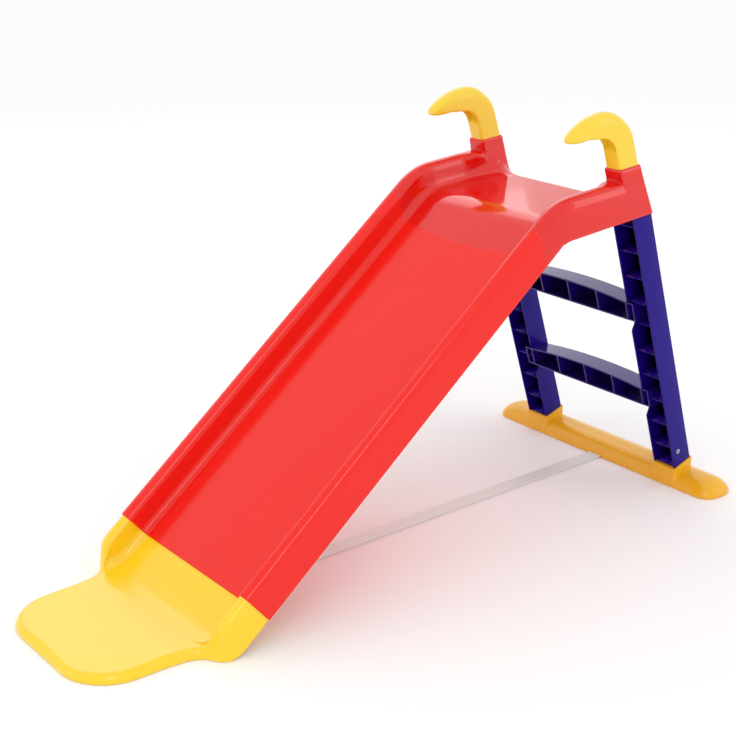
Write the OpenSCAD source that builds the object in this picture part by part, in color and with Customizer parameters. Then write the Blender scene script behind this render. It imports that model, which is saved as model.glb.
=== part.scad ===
// Straight slide for toddlers: a chute and a platform of moulded sheet, an exit
// lip at the foot, a leaning two-step ladder behind, a foot beam and a tie bar.
// Axes: +X runs from the exit lip to the ladder, +Z is up, the floor is z = 0.
// The origin is on the floor under the middle of the slide. Millimetres.

/* [Chute] */
// Angle of the chute above the floor, degrees
slope = 38.8; // [34:0.1:42]
// Length of the chute along its rails, from the lower seam to the upper seam
chute_l = 810; // [650:5:980]
// Width over the outside of the two rails
chute_w = 412; // [350:2:480]
// Depth of the sliding floor below the crown of the rails
channel_depth = 50; // [42:1:54]
// Depth of the outer skirt below the crown of the rails
skirt_depth = 60; // [58:1:64]
// Width of one rounded rail
rail_w = 28; // [24:1:34]
// Thickness of the moulded walls
wall = 3; // [2.5:0.1:3.5]
// Outward lean of the skirts, degrees
skirt_flare = 8; // [5:0.5:12]
// Lean of the inner walls of the channel, degrees
wall_draft = 6; // [3:0.5:10]
// Radius of the fillet between the floor and the inner walls
floor_fillet = 20; // [14:1:24]

/* [Exit lip] */
// Reach of the exit lip in front of the lower seam
lip_reach = 271; // [250:1:330]
// Height of the rail crown above the floor at the lower seam
seam_h = 99; // [92:1:108]
// Distance from the outside of a rail in to the side of the tongue
lip_side = 46; // [40:1:60]
// Height of the tongue above the floor
lip_h = 17; // [15:1:24]
// Corner radius of the tongue, seen from above
lip_corner = 98; // [60:1:110]
// Radius of the curve from the sloping floor to the tongue
lip_bend = 120; // [90:1:130]
// Length of each rail ear in front of the lower seam, along the floor
ear_reach = 53; // [46:1:64]

/* [Platform] */
// Tilt of the platform, rising towards the ladder, degrees
platform_tilt = 4.8; // [2:0.1:7]
// Length along the rails from the upper seam to the corner of the bend
entry_l = 68; // [60:1:80]
// Length of the platform behind the corner of the bend
platform_l = 233; // [190:1:285]
// Depth of the platform skirt below the crown of the rails
platform_depth = 70; // [66:1:76]
// Radius of the bend, measured at the crown of the rails
bend_r = 135; // [110:1:150]
// Lean of the upper seam from square across the chute, degrees
seam_lean = 25; // [15:1:30]
// Radius of the bow of the upper seam across the floor
seam_bow_r = 1400; // [1000:50:3000]
// Height of the handle seats above the crown of the rails
seat_rise = 23.5; // [15:0.5:35]

/* [Handles] */
// Width of a handle across the slide
handle_w = 36; // [30:1:40]
// Height of a handle above its seat
handle_h = 108; // [95:1:130]
// How far the tip of a handle reaches forward of its seat
handle_reach = 131; // [115:1:150]

/* [Ladder] */
// Lean of the ladder from upright, degrees
leg_lean = 17.85; // [14:0.05:21]
// Width of a leg across the slide
leg_w = 55; // [48:1:60]
// Depth of a leg from its front face to its back face
leg_d = 49.5; // [44:0.5:56]
// Thickness of the moulded walls of the ladder
leg_wall = 3; // [2.5:0.1:4]
// Spacing of the cross ribs in a leg
rib_pitch = 57; // [45:1:75]
// Height of the lower step above the floor, at its lower edge
step_1_z = 174; // [150:1:200]
// Height of the upper step above the floor, at its lower edge
step_2_z = 369; // [340:1:400]
// Height of the open front of a step
step_h = 40; // [34:1:48]
// Rise of the arch of a step in the middle
step_arch = 10; // [4:1:14]
// How far the ends of a step reach into the legs
step_plug = 17; // [12:1:24]

/* [Foot beam] */
// How far the foot beam reaches outside each leg
beam_reach = 96; // [70:1:130]
// Width of the foot beam on the floor
beam_w = 88; // [78:1:96]
// Height of the domed top of the foot beam
beam_h = 32; // [28:1:38]
// Height of the middle of a leg's foot above the floor
foot_h = 46.5; // [44:0.5:60]

/* [Tie bar] */
// Width of the flat tie bar
tie_w = 31; // [24:1:40]
// Thickness of the flat tie bar
tie_t = 3; // [2:0.5:4]

/* [Fits and fasteners] */
// Clearance between plugged and lapped parts
fit = 0.3; // [0.2:0.05:0.4]
// Shank diameter of the screws
screw_d = 5; // [4:0.5:6]
// Head diameter of the screws
screw_head_d = 10; // [9:0.5:12]
// Height of the screw heads
screw_head_h = 3; // [2.5:0.5:3.5]
// Length that each seam laps under its neighbour
lap_l = 40; // [30:1:50]
// Thickness of the lapping tongues
lap_t = 2.6; // [2:0.1:3]

/* [Hidden] */
$fn = 64;

red = "#EE3D30";
deep_red = "#DF2A12";
yellow = "#FDE04C";
beam_yellow = "#E4B52A";
blue = "#2A1690";
grey = "#DCDCDA";
steel = "#A9A9AB";

big = 2000;             // larger than any part of the slide
hair = 0.01;            // overrun of cutting shapes
arc_steps = 10;         // segments in each rounded stretch of a moulded section

// Directions along a line that rises at an angle, and square to it
function along(a) = [cos(a), sin(a)];
function square_to(a) = [-sin(a), cos(a)];

// Side view, as [x, z] points. The lip's front edge starts the chain at x = 0.
lip_seam = [lip_reach, seam_h];
corner_0 = lip_seam + (chute_l + entry_l) * along(slope);
heel_0 = corner_0 + platform_l * along(platform_tilt) - platform_depth * square_to(platform_tilt);
foot_back_z = foot_h + leg_d / 2 * sin(leg_lean);
leg_l = (heel_0[1] - foot_back_z) / cos(leg_lean);
foot_x_0 = heel_0[0] + leg_l * sin(leg_lean) - leg_d / 2 * cos(leg_lean);
beam_x_0 = foot_x_0 + foot_h * tan(leg_lean);
overall_l = beam_x_0 + beam_w / 2;
middle = overall_l / 2;

// The same points with the origin under the middle of the slide
lip_front = -middle;
seam = lip_seam - [middle, 0];
corner = corner_0 - [middle, 0];
heel = heel_0 - [middle, 0];
foot = [foot_x_0 - middle, foot_h];
beam_x = beam_x_0 - middle;

// Cross-section of the moulded channel: y across, n up from the rail crown
crown_r = rail_w / 2;
crown_y = chute_w / 2 - crown_r;
bend_angle = slope - platform_tilt;
bend_to_leg = leg_lean - platform_tilt;
seam_back = channel_depth * tan(seam_lean);
bend_reach = bend_r * tan(bend_angle / 2);
wall_top_n = -crown_r + crown_r * sin(wall_draft);
wall_foot_n = -channel_depth + floor_fillet * (1 - sin(wall_draft));
wall_foot_y = crown_y - crown_r * cos(wall_draft) - (wall_top_n - wall_foot_n) * tan(wall_draft);
fillet_y = wall_foot_y - floor_fillet * cos(wall_draft);
fillet_n = -channel_depth + floor_fillet;
lap_in = wall + fit;
lap_out = lap_in + lap_t;
lip_w = chute_w - 2 * lip_side;

// The legs stand just inside the lower edges of the platform's skirts
leg_out_y = skirt_foot_y(platform_depth) - 2;
leg_in_y = leg_out_y - leg_w;
leg_y = (leg_out_y + leg_in_y) / 2;
beam_l = 2 * (leg_out_y + beam_reach);

// Sockets of the platform, seen along the ladder
seat_out_y = leg_out_y - 10;
seat_in_y = seat_out_y - handle_w;
socket_wall = 3.2;
socket_out_y = seat_out_y - socket_wall;
socket_in_y = seat_in_y + socket_wall;
socket_half_d = leg_d / 2 - socket_wall;
plug_up = 45;           // height of a leg's plug inside the platform
spigot_down = 30;       // depth of a handle's spigot inside its seat

// Chute floor level where the lip starts, and where its line meets the tongue's top
floor_at_seam = seam - channel_depth * square_to(slope);
lip_corner_x = floor_at_seam[0] - (floor_at_seam[1] - lip_h) / tan(slope);
lip_bend_reach = lip_bend * tan(slope / 2);

post_h = 46;            // height of the foot beam's posts inside the legs
post_w = leg_w - 2 * leg_wall - 2 * fit;
post_d = leg_d - 3 * leg_wall - 8 - 2 * fit;
post_x = 4 + leg_wall / 2;
collar = 3.5;             // rim of the collar round a leg's foot
boss_d = 14;
tie_z = 0.5;
tie_seat_x = lip_corner_x - lip_bend_reach + 8;
seam_rim = 14;          // length of the thickened rim at the lip's seam
lap_short = 4;          // how much the laps' skirts stop short of the skirts outside
countersink_h = 2.2;

// ---- Section outlines -------------------------------------------------------

// Right half of the moulded skin at a depth below its top face
function half_skin(in, depth) = concat(
    [[skirt_foot_y(depth) - in / cos(skirt_flare), -depth]],
    [for (i = [0 : arc_steps])
        let (a = skirt_flare + (180 - wall_draft - skirt_flare) * i / arc_steps)
        [crown_y + (crown_r - in) * cos(a), -crown_r + (crown_r - in) * sin(a)]],
    [for (i = [0 : arc_steps])
        let (a = -wall_draft - (90 - wall_draft) * i / arc_steps)
        [fillet_y + (floor_fillet + in) * cos(a), fillet_n + (floor_fillet + in) * sin(a)]]);

function skirt_foot_y(depth) = crown_y + crown_r * cos(skirt_flare)
    + (depth - crown_r + crown_r * sin(skirt_flare)) * tan(skirt_flare);

function mirrored(points) = [for (i = [len(points) - 1 : -1 : 0]) [-points[i][0], points[i][1]]];
function reversed(points) = [for (i = [len(points) - 1 : -1 : 0]) points[i]];
function skin(in, depth) = concat(half_skin(in, depth), mirrored(half_skin(in, depth)));

// Closed section of the moulded channel between two depths inside its skin
function section(from, to, depth) = concat(skin(from, depth), reversed(skin(to, depth)));

// Outline of one rail with everything under it, for the ears of the exit lip
function rail_outline(in, depth) = concat(
    [[skirt_foot_y(depth) - in / cos(skirt_flare), -depth]],
    [for (i = [0 : arc_steps])
        let (a = skirt_flare + (180 - wall_draft - skirt_flare) * i / arc_steps)
        [crown_y + (crown_r - in) * cos(a), -crown_r + (crown_r - in) * sin(a)]],
    [[wall_foot_y + in / cos(wall_draft) - (depth + wall_foot_n) * tan(wall_draft), -depth]]);

// Points of an arc, from one angle to another
function arc(centre, r, from, to, steps = 16) =
    [for (i = [0 : steps]) centre + r * along(from + (to - from) * i / steps)];

// ---- Placing ----------------------------------------------------------------

// Puts a part drawn in the chute's own frame in place: x up the slope, z square to it
module on_chute() {
    translate([seam[0], 0, seam[1]])
        rotate([0, -slope, 0])
            children();
}

// The platform's own frame: x to the ladder along the rail crowns, z square to them
module on_platform() {
    translate([corner[0], 0, corner[1]])
        rotate([0, -platform_tilt, 0])
            children();
}

// The ladder's own frame: z up along the legs from the foot, x to the back
module on_ladder() {
    translate([foot[0], 0, foot[1]])
        rotate([0, -leg_lean, 0])
            children();
}

// Both hands of a part drawn on the +Y side
module both_sides() {
    children();
    mirror([0, 1, 0])
        children();
}

// A section drawn as [y, n], carried along x
module run(length) {
    rotate([90, 0, 90])
        linear_extrude(length)
            children();
}

// A side view drawn as [x, z], spread across y
module across(y_from, y_to) {
    translate([0, y_to, 0])
        rotate([90, 0, 0])
            linear_extrude(y_to - y_from)
                children();
}

// ---- Screws -----------------------------------------------------------------

// A pan-head screw that points down from a seat at z = 0
module screw(length) {
    difference() {
        union() {
            cylinder(d = screw_head_d, h = screw_head_h);
            translate([0, 0, -length])
                cylinder(d = screw_d, h = length + hair);
        }
        for (turn = [0, 90])
            translate([0, 0, screw_head_h])
                rotate([0, 0, turn])
                    cube([screw_head_d * 0.6, 1.2, 2.4], center = true);
    }
}

// The hole for such a screw, with a pocket above the seat
module screw_hole(length, pocket) {
    translate([0, 0, -length])
        cylinder(d = screw_d + 2 * fit, h = length + hair);
    cylinder(d = screw_head_d + 2 * fit, h = pocket);
}

// Rail screws stand just below the upper seam, one on each rail
rail_screw_s = chute_l - 34;
module at_rail_screw() {
    on_chute()
        translate([rail_screw_s, crown_y, -screw_head_h + 0.6])
            children();
}

// Screws under the upper seam: they point up through the lap into the floor rib
seam_screw_y = chute_w / 4;
seam_screw_s = chute_l - seam_back - lap_l / 2;

// Screws under the lower seam
lip_screw_y = chute_w / 4;

// Screws through the back of the platform's sockets
seat_screw_up = platform_depth + seat_rise - spigot_down / 2;
plug_screw_up = plug_up / 2;
module at_back_of_socket(up) {
    on_ladder()
        translate([leg_d / 2, (socket_in_y + socket_out_y) / 2, leg_l + up / cos(bend_to_leg)])
            rotate([0, 90, 0])
                children();
}

// Screws through the back of a leg into a step's end
function step_up(z) = (z + step_h / 2 - foot[1]) / cos(leg_lean);
module at_step_screw(z) {
    on_ladder()
        translate([leg_d / 2, leg_in_y + step_plug / 2 + leg_wall / 2, step_up(z)])
            rotate([0, 90, 0])
                children();
}

// Screws through the outer face of a leg into the foot beam's post
foot_screw_up = 32;
foot_screw_x = -leg_d / 4 + 2;
module at_foot_screw() {
    on_ladder()
        translate([foot_screw_x + 6, leg_out_y, foot_screw_up])
            rotate([-90, 0, 0])
                children();
}

// ---- Chute ------------------------------------------------------------------

// Everything on the ladder's side of the upper seam, a bowed and leaning surface
module above_seam(gap) {
    on_chute()
        translate([chute_l, 0, 0])
            rotate([0, seam_lean, 0])
                translate([seam_bow_r - seam_bow - gap, 0, -big / 4])
                    cylinder(r = seam_bow_r, h = big / 2, $fn = 720);
}
seam_bow = seam_bow_r - sqrt(seam_bow_r * seam_bow_r - crown_y * crown_y);

module chute() {
    color(red)
        difference() {
            on_chute()
                run(chute_l + 20)
                    polygon(section(0, wall, skirt_depth));
            above_seam(fit);
            both_sides()
                at_rail_screw()
                    screw_hole(30, 10);
            both_sides()
                at_seam_screw()
                    screw_hole(20, 5);
            both_sides()
                at_lip_screw()
                    screw_hole(20, 5);
        }
}

module at_seam_screw() {
    on_chute()
        translate([seam_screw_s, seam_screw_y, -channel_depth - lap_out])
            rotate([180, 0, 0])
                children();
}

module at_lip_screw() {
    on_chute()
        translate([lap_l / 2, lip_screw_y, -channel_depth - lap_out])
            rotate([180, 0, 0])
                children();
}

// ---- Platform ---------------------------------------------------------------

// The moulded skin: up the slope, round the bend and level to the ladder
module platform_sweep(from, to) {
    depth = platform_depth + 6;
    on_chute()
        translate([chute_l - seam_back - 20, 0, 0])
            run(seam_back + 20 + entry_l - bend_reach + joint_run)
                polygon(section(from + joint_step, to - joint_step, depth));
    on_platform()
        translate([bend_reach, 0, -bend_r])
            rotate([90, 0, 0])
                rotate([0, 0, 90])
                    rotate_extrude(angle = bend_angle, $fn = 180)
                        polygon([for (p = section(from, to, depth)) [bend_r + p[1], p[0]]]);
    on_platform()
        translate([bend_reach - joint_run, 0, 0])
            run(platform_l)
                polygon(section(from + joint_step, to - joint_step, depth));
}
joint_run = 1;          // the straight stretches run this far into the bend
joint_step = 0.05;      // and are this much thinner on each side than the bend

// Side view of the platform's skirt: its lower edge follows the chute, then the bend
skirt_line = seam - skirt_depth * square_to(slope);
// Where the lower edges of the chute and of the platform would cross
skirt_cross_s = ((heel - skirt_line) * square_to(platform_tilt))
    / (along(slope) * square_to(platform_tilt));
skirt_corner = skirt_line + skirt_cross_s * along(slope);
roll_r = 30;            // radius of the platform's rolled back edge
roll_step = 0.3;        // the roll starts this little below the floor
roll_drop = platform_depth - channel_depth;
roll_x = platform_l - sqrt(roll_r * roll_r - pow(roll_r - roll_drop, 2));
skirt_bend_r = 60;
skirt_bend_reach = skirt_bend_r * tan(bend_angle / 2);
skirt_bend_centre = skirt_corner + skirt_bend_reach * along(platform_tilt)
    - skirt_bend_r * square_to(platform_tilt);

module platform_side() {
    polygon(concat(
        [skirt_line + (chute_l - 120) * along(slope)],
        arc(skirt_bend_centre, skirt_bend_r, 90 + slope, 90 + platform_tilt),
        [heel, heel + 300 * square_to(leg_lean), corner + 300 * square_to(slope) - [400, 0],
            skirt_line + (chute_l - 120) * along(slope) + 200 * square_to(slope)]));
}

// Front view of one handle seat and socket, as [y, n] in the platform's frame
module socket_front() {
    polygon([[leg_out_y, -platform_depth], [seat_out_y, seat_rise],
        [seat_in_y, seat_rise], [seat_in_y - 2, -platform_depth]]);
}

// A block between two planes parallel to the ladder, in the ladder's frame
module between_leg_faces(inset) {
    on_ladder()
        translate([-leg_d / 2 + inset, -big / 2, 0])
            cube([leg_d - 2 * inset, big, leg_l + 400]);
}

module socket_blocks() {
    both_sides()
        intersection() {
            on_platform()
                run(platform_l + 100)
                    socket_front();
            between_leg_faces(0);
        }
}

module socket_hollow(y_in, y_out, up_from, up_to, x_half) {
    both_sides()
        intersection() {
            on_ladder()
                translate([-x_half, y_in, 0])
                    cube([2 * x_half, y_out - y_in, leg_l + 400]);
            on_platform()
                translate([-100, 0, up_from])
                    cube([platform_l + 300, big, up_to - up_from]);
        }
}

module platform() {
    color(deep_red)
        difference() {
            union() {
                difference() {
                    intersection() {
                        platform_sweep(0, wall);
                        across(-big / 2, big / 2)
                            platform_side();
                        above_seam(0);
                    }
                    behind_roll();
                }
                seam_lap();
                socket_blocks();
                rolled_edge();
            }
            socket_hollow(socket_in_y, socket_out_y, -platform_depth - 5, -platform_depth + plug_up + fit,
                socket_half_d);
            socket_hollow(socket_in_y, socket_out_y, seat_rise - spigot_down - fit, seat_rise + 5,
                socket_half_d);
            both_sides()
                at_rail_screw()
                    screw_hole(30, 10);
            both_sides()
                at_seam_screw()
                    screw_hole(12, 5);
            both_sides()
                at_back_of_socket(seat_screw_up)
                    screw_hole(25, 8);
            both_sides()
                at_back_of_socket(plug_screw_up)
                    screw_hole(25, 8);
        }
}

// The tongue of the platform that laps under the chute's upper end
module seam_lap() {
    on_chute()
        translate([chute_l - seam_back - lap_l, 0, 0])
            run(lap_l + seam_back + 12)
                polygon(section(lap_in, lap_out, skirt_depth - lap_short));
    intersection() {
        on_chute()
            translate([chute_l - seam_back - 10, 0, 0])
                run(seam_back + 22)
                    polygon(section(wall / 2, lap_out, skirt_depth - lap_short));
        above_seam(0);
    }
}

// The back edge of the platform rolls down between the sockets
module rolled_edge() {
    on_platform()
        across(-fillet_y - 2, fillet_y + 2)
            translate([roll_x, -channel_depth - roll_r - roll_step])
                intersection() {
                    difference() {
                        circle(r = roll_r);
                        circle(r = roll_r - wall);
                    }
                    translate([-2, roll_r + roll_step - roll_drop])
                        square([roll_r + 2, roll_drop + 1]);
                }
}

// Clears the flat floor behind the start of the roll
module behind_roll() {
    on_platform()
        translate([roll_x + 0.5, -fillet_y + 1, -channel_depth - wall - 1])
            cube([big, 2 * fillet_y - 2, wall + 10]);
}

// ---- Exit lip ---------------------------------------------------------------

// Plan and edge of the tongue: a plate with rounded corners and a rolled edge
module tongue_edge(inset) {
    edge_r = lip_h - 3;
    r = lip_corner - inset;
    h = lip_h - inset;
    e = edge_r - inset;
    square([r - e, h]);
    square([r, h - e]);
    translate([r - e, h - e])
        intersection() {
            circle(r = e);
            square([e, e]);
        }
}

module tongue(inset) {
    half = lip_w / 2 - lip_corner;
    back = lip_corner_x - lip_bend_reach + 6;
    front = lip_front + lip_corner;
    both_sides() {
        translate([front, half, 0])
            rotate_extrude()
                tongue_edge(inset);
        translate([front, half, 0])
            rotate([90, 0, 90])
                linear_extrude(back - front)
                    tongue_edge(inset);
        translate([front, 0, 0])
            rotate([90, 0, 0])
                mirror([1, 0, 0])
                    translate([0, 0, -half])
                        linear_extrude(half)
                            tongue_edge(inset);
    }
    translate([front, -half, 0])
        cube([back - front, 2 * half, lip_h - inset]);
}

// Side view of the lip's floor: down the slope, round the curve, level to the tongue
function lip_floor(in) = concat(
    [floor_at_seam - in * square_to(slope)],
    arc([lip_corner_x - lip_bend_reach, lip_h + lip_bend], lip_bend + in, 270 + slope, 270, 20),
    [[lip_corner_x - lip_bend_reach - 30, lip_h - in]]);

// Side view of one ear: the rail line, a rounded nose, the floor and the rising skirt
ear_front_x = seam[0] - ear_reach;
nose_r = 20;            // radius of the nose in side view
ear_round = 22;         // plan radius of an ear's outer front corner
toe_r = 22;             // plan radius of the hollow between the tongue and an ear
skirt_toe_r = 50;       // radius between the floor and the rising skirt
skirt_toe_reach = skirt_toe_r * tan(slope / 2);
skirt_toe_x = skirt_line[0] - skirt_line[1] / tan(slope) - skirt_toe_reach;

module ear_side(in) {
    crown_z = seam[1] - in / cos(slope) - (seam[0] - ear_front_x - in) * tan(slope);
    reach = (nose_r - in) * tan((90 - slope) / 2);
    nose = [ear_front_x + in, crown_z] + [nose_r - in, -reach];
    polygon(concat(
        [seam - [0, in / cos(slope)]],
        arc(nose, nose_r - in, 90 + slope, 180, 8),
        [[ear_front_x + in, -hair]],
        arc([skirt_toe_x, skirt_toe_r], skirt_toe_r, 270, 270 + slope, 8),
        [skirt_line]));
}

// Everything above the lower edge of the lip's skirts
module above_skirt() {
    across(-big / 2, big / 2)
        polygon(concat(
            [[-big, 0]],
            arc([skirt_toe_x, skirt_toe_r], skirt_toe_r, 270, 270 + slope, 8),
            [skirt_line + 100 * along(slope), [big, big], [-big, big]]));
}

module ear_solid(in) {
    round_y = chute_w / 2 + 4 - ear_round;
    intersection() {
        on_chute()
            translate([-ear_run, 0, 0])
                run(ear_run)
                    polygon(rail_outline(in, ear_run));
        across(0, big / 2)
            ear_side(in);
        translate([ear_front_x + ear_round, round_y, 0])
            linear_extrude(big / 2) {
                circle(r = ear_round - in);
                translate([0, -big / 4])
                    square([big, big / 2]);
                translate([in - ear_round, -big / 4])
                    square([ear_round, big / 4]);
            }
    }
}
ear_run = 140;          // length of rail that an ear is cut from

// The hollow corner between the side of the tongue and the front of an ear
module toe(in) {
    translate([ear_front_x - toe_r, lip_w / 2, -hair])
        linear_extrude(lip_h - in + hair)
            difference() {
                translate([0, -4])
                    square([toe_r + 6, toe_r + 4]);
                translate([0, toe_r])
                    circle(r = toe_r + in);
            }
}

module exit_lip() {
    color(yellow)
        difference() {
            union() {
                difference() {
                    tongue(0);
                    translate([0, 0, -hair])
                        tongue(wall);
                }
                intersection() {
                    across(-wall_foot_y - 2, wall_foot_y + 2)
                        polygon(concat(lip_floor(0), reversed(lip_floor(wall))));
                    linear_extrude(big, center = true)
                        union() {
                            translate([-big / 2, -lip_w / 2 + 1])
                                square([big, lip_w - 2]);
                            translate([ear_front_x + 1, -big / 2])
                                square([big, big]);
                        }
                }
                both_sides() {
                    difference() {
                        ear_solid(0);
                        ear_solid(wall);
                    }
                    difference() {
                        toe(0);
                        toe(wall);
                    }
                }
                intersection() {
                    on_chute()
                        translate([-seam_rim, 0, 0])
                            run(seam_rim - fit)
                                polygon(section(0, lap_out, skirt_depth));
                    above_skirt();
                }
                on_chute()
                    translate([-seam_rim, 0, 0])
                        run(seam_rim + lap_l)
                            polygon(section(lap_in, lap_out, skirt_depth - lap_short));
                translate([tie_seat_x, 0, tie_z + tie_t])
                    cylinder(d = boss_d, h = lip_h - wall / 2 - tie_z - tie_t);
            }
            both_sides()
                at_lip_screw()
                    screw_hole(20, 5);
            tie_screw_hole(tie_seat_x);
            translate([-big, -big, -big])
                cube([2 * big, 2 * big, big]);
        }
}

// ---- Handles ----------------------------------------------------------------

// Side view of a handle, from its seat on the platform, as [x, z] points
seat_x_back = platform_l - (platform_depth + seat_rise) * tan(bend_to_leg);
seat_len = leg_d / cos(bend_to_leg);
seat_x_front = seat_x_back - seat_len;
seat_front = corner + seat_x_front * along(platform_tilt) + seat_rise * square_to(platform_tilt);
seat_back = seat_front + seat_len * along(platform_tilt);
handle_top_z = seat_back[1] - 2 + handle_h;
top_r = 72;             // radius of the back of a handle
top_x = seat_back[0]
    - (top_r * (1 - sin(leg_lean)) + (handle_top_z - seat_back[1]) * sin(leg_lean)) / cos(leg_lean);
tip_x = seat_front[0] - handle_reach;
tip_drop = 42;          // how far the tip lies below the top
tip_r = 6.5;            // radius of the tip in side view
front_r = (pow(top_x - tip_x, 2) + tip_drop * tip_drop) / (2 * tip_drop);
front_a = asin((top_x - tip_x) / front_r);
under_z = handle_top_z - tip_drop - 3.5;
under_r = 15;           // radius of the inside of the bend
under_c = [seat_front[0] - (under_z - under_r - seat_front[1]) * tan(leg_lean) - under_r / cos(leg_lean),
    under_z - under_r];
handle_mid_y = (seat_in_y + seat_out_y) / 2;
crown_round = 14;       // radius of the handle's upper edges, seen from the front
recess_wall = 4;        // thickness left on both sides of the recess
recess_d = 12;          // depth of the recess inside the bend
recess_up = 41;         // height of the recess's foot above the seat

module handle_side() {
    polygon(concat(
        [seat_front, seat_back],
        arc([top_x, handle_top_z - top_r], top_r, leg_lean, 90),
        arc([top_x, handle_top_z - front_r], front_r, 90, 90 + front_a - 3),
        arc([tip_x + tip_r, under_z + tip_r], tip_r, 160, 270, 6),
        arc(under_c, under_r, 90, leg_lean, 8)));
}

// Front view of the handle, with its upper edges rounded
module handle_front() {
    translate([handle_mid_y, 0]) {
        translate([-handle_w / 2, 0])
            square([handle_w, handle_top_z - crown_round]);
        translate([-handle_w / 2 + crown_round, 0])
            square([handle_w - 2 * crown_round, handle_top_z]);
        for (side = [-1, 1])
            translate([side * (handle_w / 2 - crown_round), handle_top_z - crown_round])
                circle(r = crown_round);
    }
}

module handle() {
    intersection() {
        across(seat_in_y, seat_out_y)
            handle_side();
        handle_taper();
        run(big)
            handle_front();
    }
    spigot();
}

// Plan taper of the grip: full width at the seat, rounded at the tip
module handle_taper() {
    tip_half = 10;
    translate([0, 0, -big / 2])
        linear_extrude(big)
            union() {
                polygon([[top_x, seat_in_y], [big, seat_in_y], [big, seat_out_y], [top_x, seat_out_y],
                    [tip_x + tip_half, handle_mid_y + tip_half],
                    [tip_x + tip_half, handle_mid_y - tip_half]]);
                translate([tip_x + tip_half, handle_mid_y])
                    circle(r = tip_half);
            }
}

module spigot() {
    intersection() {
        on_ladder()
            translate([-socket_half_d + fit, socket_in_y + fit, 0])
                cube([2 * socket_half_d - 2 * fit, socket_out_y - socket_in_y - 2 * fit, leg_l + 400]);
        on_platform()
            translate([-100, 0, seat_rise - spigot_down])
                cube([platform_l + 300, big, spigot_down + 2]);
    }
}

// The open recess inside the bend of the handle
module handle_recess() {
    across(seat_in_y + recess_wall, seat_out_y - recess_wall)
        intersection() {
            translate(under_c)
                circle(r = under_r + recess_d);
            translate([under_c[0] - under_r / 2, seat_front[1] + recess_up])
                square([big, big]);
        }
}

module handle_left() {
    color(yellow)
        difference() {
            handle();
            handle_recess();
            at_back_of_socket(seat_screw_up)
                screw_hole(25, 0.1);
        }
}

module handle_right() {
    mirror([0, 1, 0])
        handle_left();
}

// ---- Ladder -----------------------------------------------------------------

rib_n = round(leg_l / rib_pitch);

// Everything under the platform's skirt line, so that a leg's top seats on it
module under_platform(gap) {
    on_platform()
        translate([-big / 2, -big / 2, -platform_depth - gap - big])
            cube([big, big, big]);
}

// A slot in the inner wall for a step's end, open at the front, with a round relief
module step_slot(z) {
    relief_r = 11;
    intersection() {
        on_ladder()
            translate([-leg_d / 2 - 5, leg_in_y - 5, 0])
                cube([leg_d + 5 - leg_wall + hair, leg_wall + 5 + hair, leg_l]);
        translate([-big / 2, 0, z - fit])
            cube([big, big, step_h + 2 * fit]);
    }
    on_ladder()
        translate([-leg_d / 2, leg_in_y - 5, (z - foot[1]) / cos(leg_lean) - relief_r + 2 - leg_d / 2 * tan(leg_lean)])
            rotate([-90, 0, 0])
                cylinder(r = relief_r, h = leg_wall + 5 + hair);
}

module ladder_leg_left() {
    web_front = 8;      // how far the lowest bay's web is set back from the front
    color(blue)
        difference() {
            union() {
                difference() {
                    intersection() {
                        on_ladder()
                            translate([-leg_d / 2, leg_in_y, 0])
                                cube([leg_d, leg_w, leg_l + 60]);
                        under_platform(0);
                    }
                    on_ladder()
                        translate([-leg_d / 2 - hair, leg_in_y + leg_wall, leg_wall])
                            cube([leg_d - leg_wall, leg_w - 2 * leg_wall, leg_l + 60]);
                    on_ladder()
                        translate([-leg_d / 2 + web_front + leg_wall, leg_in_y + leg_wall, -hair])
                            cube([leg_d - 2 * leg_wall - web_front, leg_w - 2 * leg_wall, leg_wall + 1]);
                }
                intersection() {
                    on_ladder() {
                        for (i = [1 : rib_n])
                            translate([-leg_d / 2 + 1, leg_in_y + 1, i * rib_pitch - leg_wall])
                                cube([leg_d - 2, leg_w - 2, leg_wall]);
                        translate([-leg_d / 2 + web_front, leg_in_y + 1, 0])
                            cube([leg_wall, leg_w - 2, rib_pitch]);
                    }
                    under_platform(0);
                }
                intersection() {
                    on_ladder()
                        translate([-leg_d / 2 + 1, leg_in_y + 1, leg_l - 40])
                            cube([leg_d - 2, leg_w - 2, 80]);
                    difference() {
                        under_platform(0);
                        under_platform(4);
                    }
                }
                plug();
            }
            step_slot(step_1_z);
            step_slot(step_2_z);
            step_room(step_1_z);
            step_room(step_2_z);
            at_back_of_socket(plug_screw_up)
                screw_hole(25, 0.1);
            at_step_screw(step_1_z)
                screw_hole(8, 0.1);
            at_step_screw(step_2_z)
                screw_hole(8, 0.1);
            at_foot_screw()
                translate([0, 0, -screw_head_h])
                    screw_hole(25, 8);
        }
}

// Room inside the channel for the end of a step
module step_room(z) {
    intersection() {
        on_ladder()
            translate([-leg_d / 2 - 5, leg_in_y, 0])
                cube([leg_d + 5 - leg_wall, leg_wall + step_plug + fit, leg_l]);
        translate([-big / 2, 0, z - fit])
            cube([big, big, step_h + 2 * fit]);
    }
}

// The plug on top of a leg that fills the platform's socket
module plug() {
    intersection() {
        on_ladder()
            translate([-socket_half_d + fit, socket_in_y + fit, 0])
                cube([2 * socket_half_d - 2 * fit, socket_out_y - socket_in_y - 2 * fit, leg_l + 200]);
        on_platform()
            translate([-100, 0, -platform_depth - 3])
                cube([platform_l + 300, big, plug_up + 3]);
    }
}

module ladder_leg_right() {
    mirror([0, 1, 0])
        ladder_leg_left();
}

// Front view of a step's body: straight below, arched above
module step_front(z, inset) {
    half = leg_in_y - fit;
    arch_r = (half * half + step_arch * step_arch) / (2 * step_arch);
    intersection() {
        translate([-half, z + inset])
            square([2 * half, step_h + step_arch]);
        translate([0, z + step_h + step_arch - arch_r])
            circle(r = arch_r - inset, $fn = 720);
    }
}

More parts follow.
